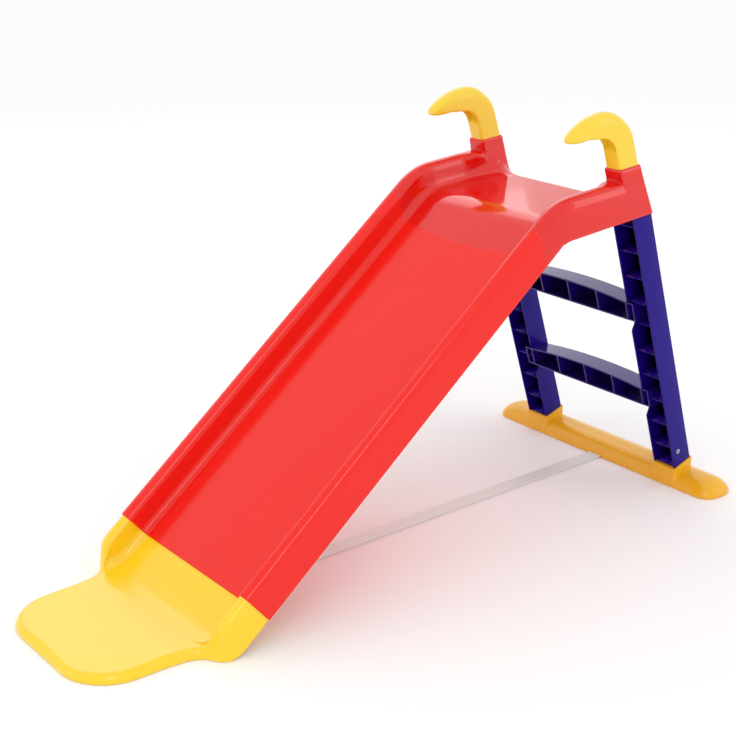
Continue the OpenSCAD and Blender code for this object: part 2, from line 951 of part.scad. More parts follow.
// A slab between the front and back faces of the ladder
module ladder_slab(front_in, back_in) {
    on_ladder()
        translate([-leg_d / 2 + front_in, -big / 2, -foot_h])
            cube([leg_d - front_in - back_in, big, leg_l + 100]);
}

module step(z) {
    bays = 4;
    plug_half = leg_in_y + step_plug;
    bay = 2 * leg_in_y / bays;
    color(blue)
        difference() {
            union() {
                difference() {
                    intersection() {
                        translate([-big / 2, 0, 0])
                            run(big)
                                step_front(z, 0);
                        ladder_slab(0, 0);
                    }
                    intersection() {
                        translate([-big / 2, 0, 0])
                            run(big)
                                step_front(z, leg_wall);
                        ladder_slab(-5, leg_wall);
                    }
                }
                intersection() {
                    for (i = [1 : bays - 1])
                        translate([-big / 2, rib_place(i, bays) - leg_wall / 2, z])
                            cube([big, leg_wall, step_h + step_arch]);
                    translate([-big / 2, 0, 0])
                        run(big)
                            step_front(z, 1);
                    ladder_slab(1, 1);
                }
                both_sides()
                    step_end(z, plug_half);
            }
            both_sides()
                at_step_screw(z)
                    screw_hole(leg_wall + 20, 0.1);
        }
}

// Middle of each rib of a step; its ends close the outer bays
function rib_place(i, bays) = (-1 + 2 * i / bays) * (leg_in_y - fit - leg_wall / 2);

// The end of a step that plugs into a leg: a tray open to the front
end_drop = 0.6;         // the ends lie this much inside the tread's own outline
module step_end(z, plug_half) {
    difference() {
        intersection() {
            translate([-big / 2, leg_in_y - fit - leg_wall, z])
                cube([big, plug_half - leg_in_y + fit + leg_wall, step_h - end_drop]);
            ladder_slab(end_drop, leg_wall + fit);
        }
        intersection() {
            translate([-big / 2, leg_in_y - fit, z + leg_wall])
                cube([big, plug_half - leg_in_y + fit - leg_wall, step_h - 2 * leg_wall]);
            ladder_slab(-5, leg_wall + fit + 16);
        }
    }
}

module step_lower() {
    step(step_1_z);
}

module step_upper() {
    step(step_2_z);
}

// ---- Foot beam --------------------------------------------------------------

// The dome is part of a round bar sunk below the floor
dome_r = (beam_w * beam_w / 4 + beam_h * beam_h) / (2 * beam_h);
dome_sink = dome_r - beam_h;
beam_corner = 26;       // plan radius of the beam's corners
beam_end = 32;          // radius that rounds the top down at the beam's ends

module dome(inset) {
    half = beam_l / 2 - inset;
    intersection() {
        translate([beam_x, 0, -dome_sink])
            rotate([90, 0, 0])
                cylinder(r = dome_r - inset, h = 2 * half, center = true, $fn = 96);
        translate([beam_x, 0, 0])
            linear_extrude(beam_h) {
                square([beam_w - 2 * beam_corner, 2 * half], center = true);
                square([beam_w - 2 * inset, 2 * half - 2 * beam_corner + 2 * inset], center = true);
                for (x = [-1, 1], y = [-1, 1])
                    translate([x * (beam_w / 2 - beam_corner), y * (beam_l / 2 - beam_corner)])
                        circle(r = beam_corner - inset);
            }
        translate([beam_x - beam_w, 0, 0])
            run(2 * beam_w) {
                translate([-half + beam_end, 0])
                    square([2 * half - 2 * beam_end, beam_h]);
                intersection() {
                    for (y = [-1, 1])
                        translate([y * (half - beam_end), beam_h - inset - beam_end])
                            circle(r = beam_end, $fn = 96);
                    translate([-half, 0])
                        square([2 * half, beam_h]);
                }
            }
    }
}

module collar_box(inset, low) {
    on_ladder()
        translate([-leg_d / 2 - collar + inset, leg_in_y - collar + inset, low])
            cube([leg_d + 2 * collar - 2 * inset, leg_w + 2 * collar - 2 * inset, -low - inset]);
}

module above_floor() {
    translate([-big / 2, -big / 2, 0])
        cube([big, big, big]);
}

module post(inset) {
    on_ladder()
        translate([post_x - post_d / 2 + inset, leg_y - post_w / 2 + inset, -wall])
            cube([post_d - 2 * inset, post_w - 2 * inset, post_h + wall - inset]);
}

module foot_beam() {
    color(beam_yellow)
        difference() {
            union() {
                difference() {
                    union() {
                        dome(0);
                        both_sides()
                            intersection() {
                                collar_box(0, -70);
                                above_floor();
                            }
                    }
                    difference() {
                        dome(wall);
                        both_sides()
                            intersection() {
                                collar_box(0, -70);
                                above_floor();
                            }
                    }
                    both_sides()
                        collar_box(wall, -90);
                }
                both_sides()
                    difference() {
                        post(0);
                        post(wall);
                    }
                translate([beam_x, 0, tie_z + tie_t])
                    cylinder(d = boss_d, h = beam_h - wall / 2 - tie_z - tie_t);
            }
            both_sides()
                at_foot_screw()
                    screw_hole(25, 1);
            tie_screw_hole(beam_x);
            translate([beam_x - beam_w, -tie_w / 2 - fit, -hair])
                cube([beam_w - boss_d / 2 - 1, tie_w + 2 * fit, tie_z + tie_t + fit]);
        }
}

// ---- Tie bar ----------------------------------------------------------------

tie_end = 14;

module tie_screw_hole(x) {
    translate([x, 0, -hair])
        cylinder(d = screw_d + 2 * fit, h = 15);
}

module at_tie_screw(x) {
    translate([x, 0, tie_z])
        children();
}

// A countersunk screw that points up, flush with the underside of the tie bar
module countersunk(grow) {
    cylinder(d1 = screw_head_d + 2 * grow, d2 = screw_d + 2 * grow, h = countersink_h);
    cylinder(d = screw_d + 2 * grow, h = 13 + grow);
}

module tie_bar() {
    from = tie_seat_x - tie_end;
    to = beam_x + tie_end;
    color(grey)
        difference() {
            translate([from, -tie_w / 2, tie_z])
                cube([to - from, tie_w, tie_t]);
            for (x = [tie_seat_x, beam_x])
                at_tie_screw(x)
                    translate([0, 0, -hair])
                        countersunk(fit);
        }
}

module tie_bar_screws() {
    color(steel)
        for (x = [tie_seat_x, beam_x])
            at_tie_screw(x)
                countersunk(0);
}

// ---- Fasteners --------------------------------------------------------------

module rail_screw_left() {
    color(steel)
        at_rail_screw()
            screw(14);
}

module rail_screw_right() {
    mirror([0, 1, 0])
        rail_screw_left();
}

module seam_screws() {
    color(steel)
        both_sides()
            at_seam_screw()
                screw(lap_out - 1);
}

module lip_screws() {
    color(steel)
        both_sides()
            at_lip_screw()
                screw(lap_out - 1);
}

module handle_screw_left() {
    color(steel)
        at_back_of_socket(seat_screw_up)
            screw(22);
}

module handle_screw_right() {
    mirror([0, 1, 0])
        handle_screw_left();
}

module leg_screw_left() {
    color(steel)
        at_back_of_socket(plug_screw_up)
            screw(22);
}

module leg_screw_right() {
    mirror([0, 1, 0])
        leg_screw_left();
}

module step_screws(z) {
    color(steel)
        both_sides()
            at_step_screw(z)
                screw(16);
}

module foot_screw_left() {
    color(steel)
        at_foot_screw()
            translate([0, 0, -screw_head_h])
                screw(14);
}

module foot_screw_right() {
    mirror([0, 1, 0])
        foot_screw_left();
}

exit_lip();
chute();
platform();
handle_left();
handle_right();
ladder_leg_left();
ladder_leg_right();
step_lower();
step_upper();
foot_beam();
tie_bar();
rail_screw_left();
rail_screw_right();
seam_screws();
lip_screws();
handle_screw_left();
handle_screw_right();
leg_screw_left();
leg_screw_right();
step_screws(step_1_z);  // step_screws_lower
step_screws(step_2_z);  // step_screws_upper
foot_screw_left();
foot_screw_right();
tie_bar_screws();
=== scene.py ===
"""Toddler's straight slide: moulded chute, platform, exit lip, hooked handles and a leaning ladder.

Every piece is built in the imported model's own frame, in metres. Sizes are held in millimetres
in the dataclasses below and are scaled once, when a mesh is made.
"""

import logging
import math
from dataclasses import dataclass, field
from enum import Enum
from functools import cached_property
from typing import Iterable, Sequence

import bmesh
import bpy
import numpy as np
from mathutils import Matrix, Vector


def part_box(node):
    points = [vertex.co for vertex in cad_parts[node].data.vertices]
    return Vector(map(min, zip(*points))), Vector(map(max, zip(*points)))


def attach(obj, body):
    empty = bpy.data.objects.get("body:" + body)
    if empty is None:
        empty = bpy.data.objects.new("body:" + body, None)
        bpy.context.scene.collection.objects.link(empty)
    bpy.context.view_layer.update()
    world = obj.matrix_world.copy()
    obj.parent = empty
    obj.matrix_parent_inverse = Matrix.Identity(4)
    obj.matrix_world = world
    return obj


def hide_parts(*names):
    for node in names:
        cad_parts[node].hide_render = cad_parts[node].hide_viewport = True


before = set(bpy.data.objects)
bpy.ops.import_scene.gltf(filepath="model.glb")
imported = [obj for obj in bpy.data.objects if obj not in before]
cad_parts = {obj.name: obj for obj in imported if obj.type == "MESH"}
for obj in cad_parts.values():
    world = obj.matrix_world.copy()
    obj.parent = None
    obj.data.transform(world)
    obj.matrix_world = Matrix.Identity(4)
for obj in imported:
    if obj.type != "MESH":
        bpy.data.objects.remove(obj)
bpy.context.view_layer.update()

ROOT = "root"
MM = 0.001
log = logging.getLogger("slide")


class Slot(str, Enum):
    """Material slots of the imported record."""

    CHUTE = "chute_red"
    PLATFORM = "platform_red"
    LIP = "lip_yellow"
    HANDLE = "handle_yellow"
    BEAM = "beam_yellow"
    LADDER = "ladder_blue"
    STEP = "step_blue"
    TIE = "tie_grey"
    SCREW = "screw_steel"


# ---- Shader expressions ---------------------------------------------------------------------


class Field:
    """A shader value that varies over a surface, with Python's operators."""

    def __init__(self, graph: "Graph", socket: bpy.types.NodeSocket, kind: str = "value") -> None:
        """Wraps one output socket.

        Args:
            graph: the graph that owns the socket.
            socket: the output socket.
            kind: "value", "colour" or "vector".
        """
        self.graph, self.socket, self.kind = graph, socket, kind

    def _maths(self, operation: str, *others: "Field | float") -> "Field":
        """Joins this field to others with one maths node."""
        vector = self.kind != "value" or any(isinstance(o, Field) and o.kind != "value" for o in others)
        node = "ShaderNodeVectorMath" if vector else "ShaderNodeMath"
        return self.graph.add(node, {"operation": operation}, [self, *others],
                              kind="vector" if vector else "value")

    def __add__(self, other: "Field | float") -> "Field":
        """Sum."""
        return self._maths("ADD", other)

    def __sub__(self, other: "Field | float") -> "Field":
        """Difference."""
        return self._maths("SUBTRACT", other)

    def __mul__(self, other: "Field | float") -> "Field":
        """Product."""
        return self._maths("MULTIPLY", other)

    __radd__ = __add__
    __rmul__ = __mul__

    def __rsub__(self, other: float) -> "Field":
        """Reflected difference."""
        return self.graph.add("ShaderNodeMath", {"operation": "SUBTRACT"}, [other, self])

    def clamp(self, low: float = 0.0, high: float = 1.0) -> "Field":
        """Limits the value to a range."""
        return self.graph.add("ShaderNodeClamp", {}, [self, low, high], out="Result")

    def spread(self, low: float, high: float, to_low: float = 0.0, to_high: float = 1.0) -> "Field":
        """Maps low..high smoothly onto to_low..to_high."""
        return self.graph.add("ShaderNodeMapRange", {"interpolation_type": "SMOOTHSTEP"},
                              [self, low, high, to_low, to_high], out="Result")


class Graph:
    """The node tree of one material."""

    def __init__(self, name: str) -> None:
        """Starts an empty material with a Principled shader.

        Args:
            name: the material's name.
        """
        self.material = bpy.data.materials.new(name)
        self.material.use_nodes = True
        self.tree = self.material.node_tree
        self.shader = next(n for n in self.tree.nodes if n.type == "BSDF_PRINCIPLED")

    def add(self, kind_of_node: str, settings: dict, inputs: Sequence | dict = (),
            out: str | int = 0, kind: str = "value") -> Field:
        """Adds one node.

        Args:
            kind_of_node: the node's Blender type.
            settings: its properties.
            inputs: values or fields, in order or by name.
            out: the output wanted.
            kind: what the output carries.

        Returns:
            The wrapped output.
        """
        node = self.tree.nodes.new(kind_of_node)
        for key, value in settings.items():
            setattr(node, key, value)
        pairs = inputs.items() if isinstance(inputs, dict) else enumerate(inputs)
        for key, value in pairs:
            self.feed(node.inputs[key], value)
        return Field(self, node.outputs[out], kind)

    def feed(self, socket: bpy.types.NodeSocket, value: "Field | float | Sequence[float]") -> None:
        """Links a field to a socket, or sets the socket's own value."""
        if isinstance(value, Field):
            self.tree.links.new(value.socket, socket)
        elif socket.type in ("VECTOR", "RGBA") and isinstance(value, (int, float)):
            socket.default_value = (value,) * len(socket.default_value)
        elif socket.type == "RGBA" and len(value) == 3:
            socket.default_value = (*value, 1.0)
        else:
            socket.default_value = value

    def place(self) -> Field:
        """The surface point in the object's own metres."""
        return self.add("ShaderNodeTexCoord", {}, out="Object", kind="vector")

    def noise(self, place: Field, size_mm: float, detail: float = 3.0, rough: float = 0.5) -> Field:
        """Noise whose largest features have about the given size."""
        return self.add("ShaderNodeTexNoise", {"noise_dimensions": "3D"},
                        {"Vector": place, "Scale": 1000.0 / size_mm, "Detail": detail, "Roughness": rough},
                        out="Fac")

    def blend(self, factor: Field | float, first: "Field | Sequence[float]",
              second: "Field | Sequence[float]") -> Field:
        """Mixes two colours."""
        node = self.tree.nodes.new("ShaderNodeMix")
        node.data_type = "RGBA"
        for key, value in ((0, factor), (6, first), (7, second)):
            self.feed(node.inputs[key], value)
        return Field(self, node.outputs[2], "colour")

    def bump(self, height: Field, strength: float, distance_mm: float) -> Field:
        """A bump of a height field."""
        return self.add("ShaderNodeBump", {}, {"Height": height, "Strength": strength,
                                               "Distance": distance_mm * MM}, out="Normal", kind="vector")

    def connect(self, name: str, value: "Field | float | Sequence[float]") -> None:
        """Feeds one of the shader's inputs."""
        self.feed(self.shader.inputs[name], value)


def linear(red: int, green: int, blue: int) -> tuple[float, float, float]:
    """Turns display colour numbers into linear ones.

    Args:
        red: 0 to 255.
        green: 0 to 255.
        blue: 0 to 255.

    Returns:
        The linear colour.
    """
    def one(value: int) -> float:
        """Converts one channel."""
        c = value / 255
        return c / 12.92 if c <= 0.04045 else ((c + 0.055) / 1.055) ** 2.4
    return one(red), one(green), one(blue)


# ---- Finishes -------------------------------------------------------------------------------


@dataclass(frozen=True)
class MouldedPlastic:
    """Glossy plastic from a mould: even colour, faint flow marks and a soft skin texture."""

    name: str
    colour: tuple[float, float, float]
    deep: tuple[float, float, float]
    roughness: float = 0.17
    coat: float = 0.35
    coat_roughness: float = 0.06
    flow: float = 0.10
    skin: float = 0.10
    rub: float = 0.0
    rub_turn: float = 0.0
    specular: float = 0.5

    def build(self) -> bpy.types.Material:
        """Makes the material.

        Returns:
            The finished material.
        """
        g = Graph(self.name)
        place = g.place()
        drift = g.noise(place, 210.0, 2.0)
        cloud = g.noise(place, 38.0, 4.0, 0.55)
        tint = ((drift - 0.5) * 1.6 + (cloud - 0.5) * 0.7 + 0.5).clamp()
        colour = g.blend(tint * self.flow, self.colour, self.deep)
        speck = g.noise(place, 0.9, 2.0, 0.6).spread(0.72, 0.80)
        colour = g.blend(speck * 0.10, colour, self.deep)
        rough = (cloud - 0.5) * 0.05 + (drift - 0.5) * 0.04 + self.roughness
        peel = g.noise(place, 3.2, 2.0, 0.45)
        height = peel * 0.5 + g.noise(place, 60.0, 1.0) * 3.0
        if self.rub > 0.0:
            turned = g.add("ShaderNodeMapping", {"vector_type": "POINT"},
                           {"Vector": place, "Rotation": (0.0, self.rub_turn, 0.0)}, kind="vector")
            drawn = g.add("ShaderNodeVectorMath", {"operation": "MULTIPLY"},
                          [turned, (0.035, 1.0, 1.0)], kind="vector")
            streak = g.noise(drawn, 2.4, 4.0, 0.7).spread(0.56, 0.74)
            fade = g.noise(place, 90.0, 2.0).spread(0.42, 0.66)
            mark = streak * fade * self.rub
            rough = rough + mark * 0.16
            height = height + mark * 0.35
        g.connect("Base Color", colour)
        g.connect("Roughness", rough.clamp(0.03, 1.0))
        g.connect("Normal", g.bump(height, self.skin, 0.35))
        g.connect("Coat Weight", self.coat)
        g.connect("Coat Roughness", self.coat_roughness)
        g.connect("IOR", 1.49)
        g.connect("Specular IOR Level", self.specular)
        return g.material


@dataclass(frozen=True)
class StripPlastic:
    """Smooth grey strip with faint lengthwise drawing lines."""

    name: str
    colour: tuple[float, float, float]
    shade: tuple[float, float, float]

    def build(self) -> bpy.types.Material:
        """Makes the material.

        Returns:
            The finished material.
        """
        g = Graph(self.name)
        place = g.place()
        drawn = g.add("ShaderNodeVectorMath", {"operation": "MULTIPLY"}, [place, (0.02, 1.0, 1.0)],
                      kind="vector")
        lines = g.noise(drawn, 1.4, 3.0, 0.6)
        cloud = g.noise(place, 45.0, 3.0)
        g.connect("Base Color", g.blend((lines * 0.5 + cloud * 0.5 - 0.2).clamp(), self.colour, self.shade))
        g.connect("Roughness", cloud * 0.12 + 0.36)
        g.connect("Normal", g.bump(lines, 0.12, 0.12))
        return g.material


@dataclass(frozen=True)
class PlatedSteel:
    """Bright plated steel of the screws, with turning marks and dulled spots."""

    name: str
    colour: tuple[float, float, float]

    def build(self) -> bpy.types.Material:
        """Makes the material.

        Returns:
            The finished material.
        """
        g = Graph(self.name)
        place = g.place()
        cloud = g.noise(place, 4.0, 4.0, 0.6)
        fine = g.noise(place, 0.5, 2.0)
        g.connect("Base Color", g.blend(cloud * 0.5, self.colour, tuple(0.62 * c for c in self.colour)))
        g.connect("Metallic", 1.0)
        g.connect("Roughness", (cloud * 0.22 + fine * 0.1 + 0.16).clamp())
        g.connect("Normal", g.bump(fine, 0.2, 0.05))
        return g.material


@dataclass(frozen=True)
class StudioFloor:
    """Pale matt studio floor."""

    name: str = "studio_floor"
    grey: float = 0.965

    def build(self) -> bpy.types.Material:
        """Makes the material.

        Returns:
            The finished material.
        """
        g = Graph(self.name)
        soft = g.noise(g.place(), 400.0, 2.0)
        g.connect("Base Color", g.blend(soft * 0.2, (self.grey,) * 3, (self.grey * 0.985,) * 3))
        g.connect("Roughness", 0.9)
        g.connect("Specular IOR Level", 0.1)
        return g.material


@dataclass
class Finishes:
    """Every finish of the slide, built once."""

    chute: bpy.types.Material = field(init=False)
    platform: bpy.types.Material = field(init=False)
    lip: bpy.types.Material = field(init=False)
    handle: bpy.types.Material = field(init=False)
    beam: bpy.types.Material = field(init=False)
    ladder: bpy.types.Material = field(init=False)
    step: bpy.types.Material = field(init=False)
    tie: bpy.types.Material = field(init=False)
    screw: bpy.types.Material = field(init=False)

    def __post_init__(self) -> None:
        """Builds the materials."""
        self.chute = MouldedPlastic("chute_red_gloss", linear(238, 28, 16), linear(216, 14, 6),
                                    coat=0.1, specular=0.38, rub=0.35, rub_turn=math.radians(38.8)).build()
        # The platform's red is the chute's red made darker: painted shade of its upright skirt, and its deep
        # tone is darkened the same way.
        self.platform = MouldedPlastic("platform_red_painted_shade", linear(224, 14, 4), linear(204, 8, 2),
                                       roughness=0.12, coat=0.3, coat_roughness=0.03, skin=0.05).build()
        self.lip = MouldedPlastic("lip_yellow_gloss", linear(252, 209, 22), linear(240, 188, 14),
                                  roughness=0.24).build()
        self.handle = MouldedPlastic("handle_yellow_gloss", linear(243, 208, 50), linear(226, 176, 24),
                                     roughness=0.28, coat=0.2).build()
        self.beam = MouldedPlastic("beam_yellow_gloss", linear(238, 176, 16), linear(222, 150, 6),
                                   roughness=0.26, coat=0.2).build()
        self.ladder = MouldedPlastic("ladder_blue_gloss", linear(30, 3, 128), linear(20, 2, 96),
                                     roughness=0.2, coat=0.0, specular=0.15).build()
        self.step = MouldedPlastic("step_blue_gloss", linear(36, 12, 118), linear(26, 8, 92),
                                   roughness=0.14, coat=0.1).build()
        self.tie = StripPlastic("tie_bar_grey", linear(231, 231, 229), linear(218, 218, 215)).build()
        self.screw = PlatedSteel("plated_screw", linear(190, 190, 192)).build()


# ---- Mesh making ----------------------------------------------------------------------------


def along(angle: float) -> np.ndarray:
    """Unit [x, z] direction rising at an angle in degrees."""
    a = math.radians(angle)
    return np.array([math.cos(a), math.sin(a)])


def square_to(angle: float) -> np.ndarray:
    """Unit [x, z] direction square to a line rising at an angle in degrees."""
    a = math.radians(angle)
    return np.array([-math.sin(a), math.cos(a)])


def tan(angle: float) -> float:
    """Tangent of an angle in degrees."""
    return math.tan(math.radians(angle))


def smooth(value: np.ndarray | float, low: float, high: float) -> np.ndarray | float:
    """Smooth step from 0 at low to 1 at high."""
    t = np.clip((value - low) / (high - low), 0.0, 1.0)
    return t * t * (3 - 2 * t)


def monotone(keys: np.ndarray, places: np.ndarray, wanted: np.ndarray) -> np.ndarray:
    """Monotone cubic interpolation along the first axis, which never overshoots its keys.

    Args:
        keys: values at the key places, any shape after the first axis.
        places: increasing places of the keys.
        wanted: places to evaluate.

    Returns:
        The interpolated values.
    """
    h = np.diff(places).reshape(-1, *([1] * (keys.ndim - 1)))
    slope = np.diff(keys, axis=0) / h
    tangent = np.zeros_like(keys)
    left, right = slope[:-1], slope[1:]
    same = left * right > 0
    w1, w2 = 2 * h[1:] + h[:-1], h[1:] + 2 * h[:-1]
    with np.errstate(divide="ignore", invalid="ignore"):
        harmonic = (w1 + w2) / (w1 / left + w2 / right)
    tangent[1:-1] = np.where(same, harmonic, 0.0)
    tangent[0], tangent[-1] = slope[0], slope[-1]
    index = np.clip(np.searchsorted(places, wanted, side="right") - 1, 0, len(places) - 2)
    span = (places[index + 1] - places[index])
    t = ((wanted - places[index]) / span).reshape(-1, *([1] * (keys.ndim - 1)))
    span = span.reshape(t.shape)
    return ((2 * t**3 - 3 * t**2 + 1) * keys[index] + (t**3 - 2 * t**2 + t) * span * tangent[index]
            + (-2 * t**3 + 3 * t**2) * keys[index + 1] + (t**3 - t**2) * span * tangent[index + 1])


def crossing(start: np.ndarray, direction: np.ndarray, line: np.ndarray) -> float:
    """Distance along a ray in the side view to where it crosses a line of points.

    Args:
        start: [x, z] start of the ray.
        direction: unit direction of the ray.
        line: the points of the line.

    Returns:
        The distance to the nearest crossing.
    """
    best = float("inf")
    for a, b in zip(line[:-1], line[1:]):
        edge = b - a
        cross = direction[0] * edge[1] - direction[1] * edge[0]
        if abs(cross) < 1e-9:
            continue
        gap = a - start
        far = (gap[0] * edge[1] - gap[1] * edge[0]) / cross
        share = (gap[0] * direction[1] - gap[1] * direction[0]) / cross
        if -1e-6 <= share <= 1 + 1e-6 and 0 < far < best:
            best = far
    return best


class Shape:
    """Collects grids of points in millimetres and turns them into one object."""

    def __init__(self, name: str) -> None:
        """Starts an empty shape.

        Args:
            name: the object's name.
        """
        self.name = name
        self.mesh = bmesh.new()

    def grid(self, points: np.ndarray, closed: bool = False, flip: bool = False) -> list[list]:
        """Adds a sheet of quads.

        Args:
            points: rows x columns x 3 array, millimetres.
            closed: joins the last column to the first.
            flip: turns the faces over.

        Returns:
            The vertices, row by row.
        """
        rows = [[self.mesh.verts.new(Vector(p) * MM) for p in row] for row in points]
        count = len(rows[0])
        for upper, lower in zip(rows[:-1], rows[1:]):
            for i in range(count if closed else count - 1):
                j = (i + 1) % count
                face = [upper[i], upper[j], lower[j], lower[i]]
                self.mesh.faces.new(face[::-1] if flip else face)
        return rows

    def face(self, verts: Iterable) -> None:
        """Adds one face on given vertices."""
        self.mesh.faces.new(list(verts))

    def finish(self, material: bpy.types.Material, stands_for: Sequence[str],
               wall: float = 0.0, round_edges: float = 0.0, weld: float = 0.02,
               smooth_angle: float = 38.0, round_steps: int = 2) -> bpy.types.Object:
        """Makes the object, dresses it and lets it ride.

        Args:
            material: its finish.
            stands_for: CAD nodes that it replaces.
            wall: thickness to give the sheet, towards its back, millimetres.
            round_edges: bevel of its sharp edges, millimetres.
            weld: distance under which vertices are joined, millimetres.
            smooth_angle: edges sharper than this stay sharp.
            round_steps: segments of the bevel.

        Returns:
            The finished object.
        """
        bmesh.ops.remove_doubles(self.mesh, verts=self.mesh.verts, dist=weld * MM)
        bmesh.ops.dissolve_degenerate(self.mesh, edges=self.mesh.edges, dist=1e-6)
        data = bpy.data.meshes.new(self.name)
        self.mesh.to_mesh(data)
        self.mesh.free()
        data.materials.append(material)
        made = bpy.data.objects.new(self.name, data)
        bpy.context.scene.collection.objects.link(made)
        for polygon in data.polygons:
            polygon.use_smooth = True
        if wall:
            thick = made.modifiers.new("wall", "SOLIDIFY")
            thick.thickness, thick.offset, thick.use_even_offset = wall * MM, -1.0, False
        if round_edges:
            bevel = made.modifiers.new("edges", "BEVEL")
            bevel.width, bevel.segments, bevel.limit_method = round_edges * MM, round_steps, "ANGLE"
            bevel.angle_limit, bevel.use_clamp_overlap = math.radians(50), True
            bevel.harden_normals = False
        settle_normals(made, smooth_angle)
        dress(made, stands_for)
        return made


def settle_normals(made: bpy.types.Object, angle: float) -> None:
    """Shades an object smooth up to an angle, through its mesh's sharp edges."""
    made.data.set_sharp_from_angle(angle=math.radians(angle))


def dress(made: bpy.types.Object, stands_for: Sequence[str]) -> None:
    """Lets a piece ride and hides the CAD nodes it stands for.

    Args:
        made: the piece.
        stands_for: CAD nodes.
    """
    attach(made, ROOT)
    if stands_for:
        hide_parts(*stands_for)
    log.info("%s: %d vertices for %s", made.name, len(made.data.vertices), ", ".join(stands_for) or "-")


# ---- Sizes shared by the moulded pieces -------------------------------------------------------


@dataclass(frozen=True)
class Channel:
    """Cross-section of the channel, and its line in the side view, millimetres and degrees."""

    slope: float = 38.8
    chute_l: float = 810.0
    crown_y: float = 192.0
    crown_r: float = 14.0
    flare: float = 8.0
    draft: float = 6.0
    fillet: float = 20.0
    floor_n: float = -50.0
    skirt_n: float = -60.0
    lip_reach: float = 271.0
    seam_h: float = 99.0
    seam_lean: float = 25.0
    seam_bow_r: float = 1400.0
    tilt: float = 4.8
    entry_l: float = 68.0
    platform_l: float = 233.0
    platform_n: float = -70.0
    bend_r: float = 135.0
    n_skirt: int = 9
    n_crown: int = 20
    n_wall: int = 5
    n_fillet: int = 14
    n_floor: int = 14

    @cached_property
    def seam(self) -> np.ndarray:
        """[x, z] of the rail crown at the lower seam."""
        return np.array([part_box("exit_lip")[0].x / MM + self.lip_reach, self.seam_h])

    @cached_property
    def corner(self) -> np.ndarray:
        """[x, z] where the two crown lines of the platform cross."""
        return self.seam + (self.chute_l + self.entry_l) * along(self.slope)

    def foot_y(self, depth: float) -> float:
        """Half width at the foot of a skirt of the given depth."""
        t = math.radians(self.flare)
        return (self.crown_y + self.crown_r * math.cos(t)
                + (depth - self.crown_r + self.crown_r * math.sin(t)) * math.tan(t))

    def half(self, depth: float, inset: float = 0.0) -> np.ndarray:
        """Points [y, n] of half the section, from the skirt's foot to the middle of the floor.

        Args:
            depth: depth of the skirt below the crown.
            inset: distance inside the moulded skin.

        Returns:
            The points, the first at the foot.
        """
        flare, draft = math.radians(self.flare), math.radians(self.draft)
        r = self.crown_r - inset
        start = np.array([self.crown_y + r * math.cos(flare), -self.crown_r + r * math.sin(flare)])
        foot = np.array([self.foot_y(depth) - inset / math.cos(flare), -depth])
        skirt = foot + (start - foot) * np.linspace(0, 1, self.n_skirt)[:-1, None]
        a = np.linspace(flare, math.pi - draft, self.n_crown)
        crown = np.stack([self.crown_y + r * np.cos(a), -self.crown_r + r * np.sin(a)], 1)
        wall_foot_n = self.floor_n + self.fillet * (1 - math.sin(draft))
        wall_top_n = -self.crown_r + self.crown_r * math.sin(draft)
        wall_foot_y = (self.crown_y - self.crown_r * math.cos(draft)
                       - (wall_top_n - wall_foot_n) * math.tan(draft))
        centre = np.array([wall_foot_y - self.fillet * math.cos(draft), self.floor_n + self.fillet])
        b = np.linspace(-draft, -math.pi / 2, self.n_fillet)
        rf = self.fillet + inset
        fillet = np.stack([centre[0] + rf * np.cos(b), centre[1] + rf * np.sin(b)], 1)
        wall = crown[-1] + (fillet[0] - crown[-1]) * np.linspace(0, 1, self.n_wall + 1)[1:-1, None]
        middle = np.array([0.0, self.floor_n - inset])
        floor = fillet[-1] + (middle - fillet[-1]) * np.linspace(0, 1, self.n_floor + 1)[1:, None]
        return np.concatenate([skirt, crown, wall, fillet, floor])

    def seam_s(self, y: np.ndarray, n: np.ndarray, gap: float = 0.0) -> np.ndarray:
        """Place along the slope of the bowed and leaning upper seam.

        Args:
            y: half width of each point.
            n: height of each point over the crown line.
            gap: distance to stay back from the seam.

        Returns:
            Distance along the slope from the lower seam.
        """
        r = self.seam_bow_r
        bow = r - math.sqrt(r * r - self.crown_y**2)
        back = r - np.sqrt(r * r - y * y) - bow - gap
        return self.chute_l + n * tan(self.seam_lean) + back / math.cos(math.radians(self.seam_lean))

    def on_slope(self, s: np.ndarray, y: np.ndarray, n: np.ndarray) -> np.ndarray:
        """Points of the chute's own frame, in the row frame."""
        side = self.seam + s[..., None] * along(self.slope) + n[..., None] * square_to(self.slope)
        return np.stack([side[..., 0], y, side[..., 1]], -1)

    def on_platform(self, x: np.ndarray, y: np.ndarray, n: np.ndarray) -> np.ndarray:
        """Points of the platform's own frame, in the row frame."""
        side = self.corner + x[..., None] * along(self.tilt) + n[..., None] * square_to(self.tilt)
        return np.stack([side[..., 0], y, side[..., 1]], -1)


def whole(half: np.ndarray) -> np.ndarray:
    """Mirrors a grid of half rows, drawn on +Y, into full rows from +Y to -Y."""
    other = half[:, -2::-1].copy()
    other[..., 1] *= -1
    return np.concatenate([half, other], axis=1)


def edge_drop(distance: np.ndarray, radius: float) -> np.ndarray:
    """How far a rounded rim falls at a distance from its end."""
    d = np.clip(radius - distance, 0.0, radius)
    return radius - np.sqrt(np.maximum(radius**2 - d**2, 0.0))


def skin_normals(section: np.ndarray) -> np.ndarray:
    """Outward unit normals [y, n] along a half section."""
    t = np.gradient(section, axis=0)
    normal = np.stack([t[:, 1], -t[:, 0]], 1)
    return normal / np.linalg.norm(normal, axis=1, keepdims=True)


# ---- Chute ----------------------------------------------------------------------------------


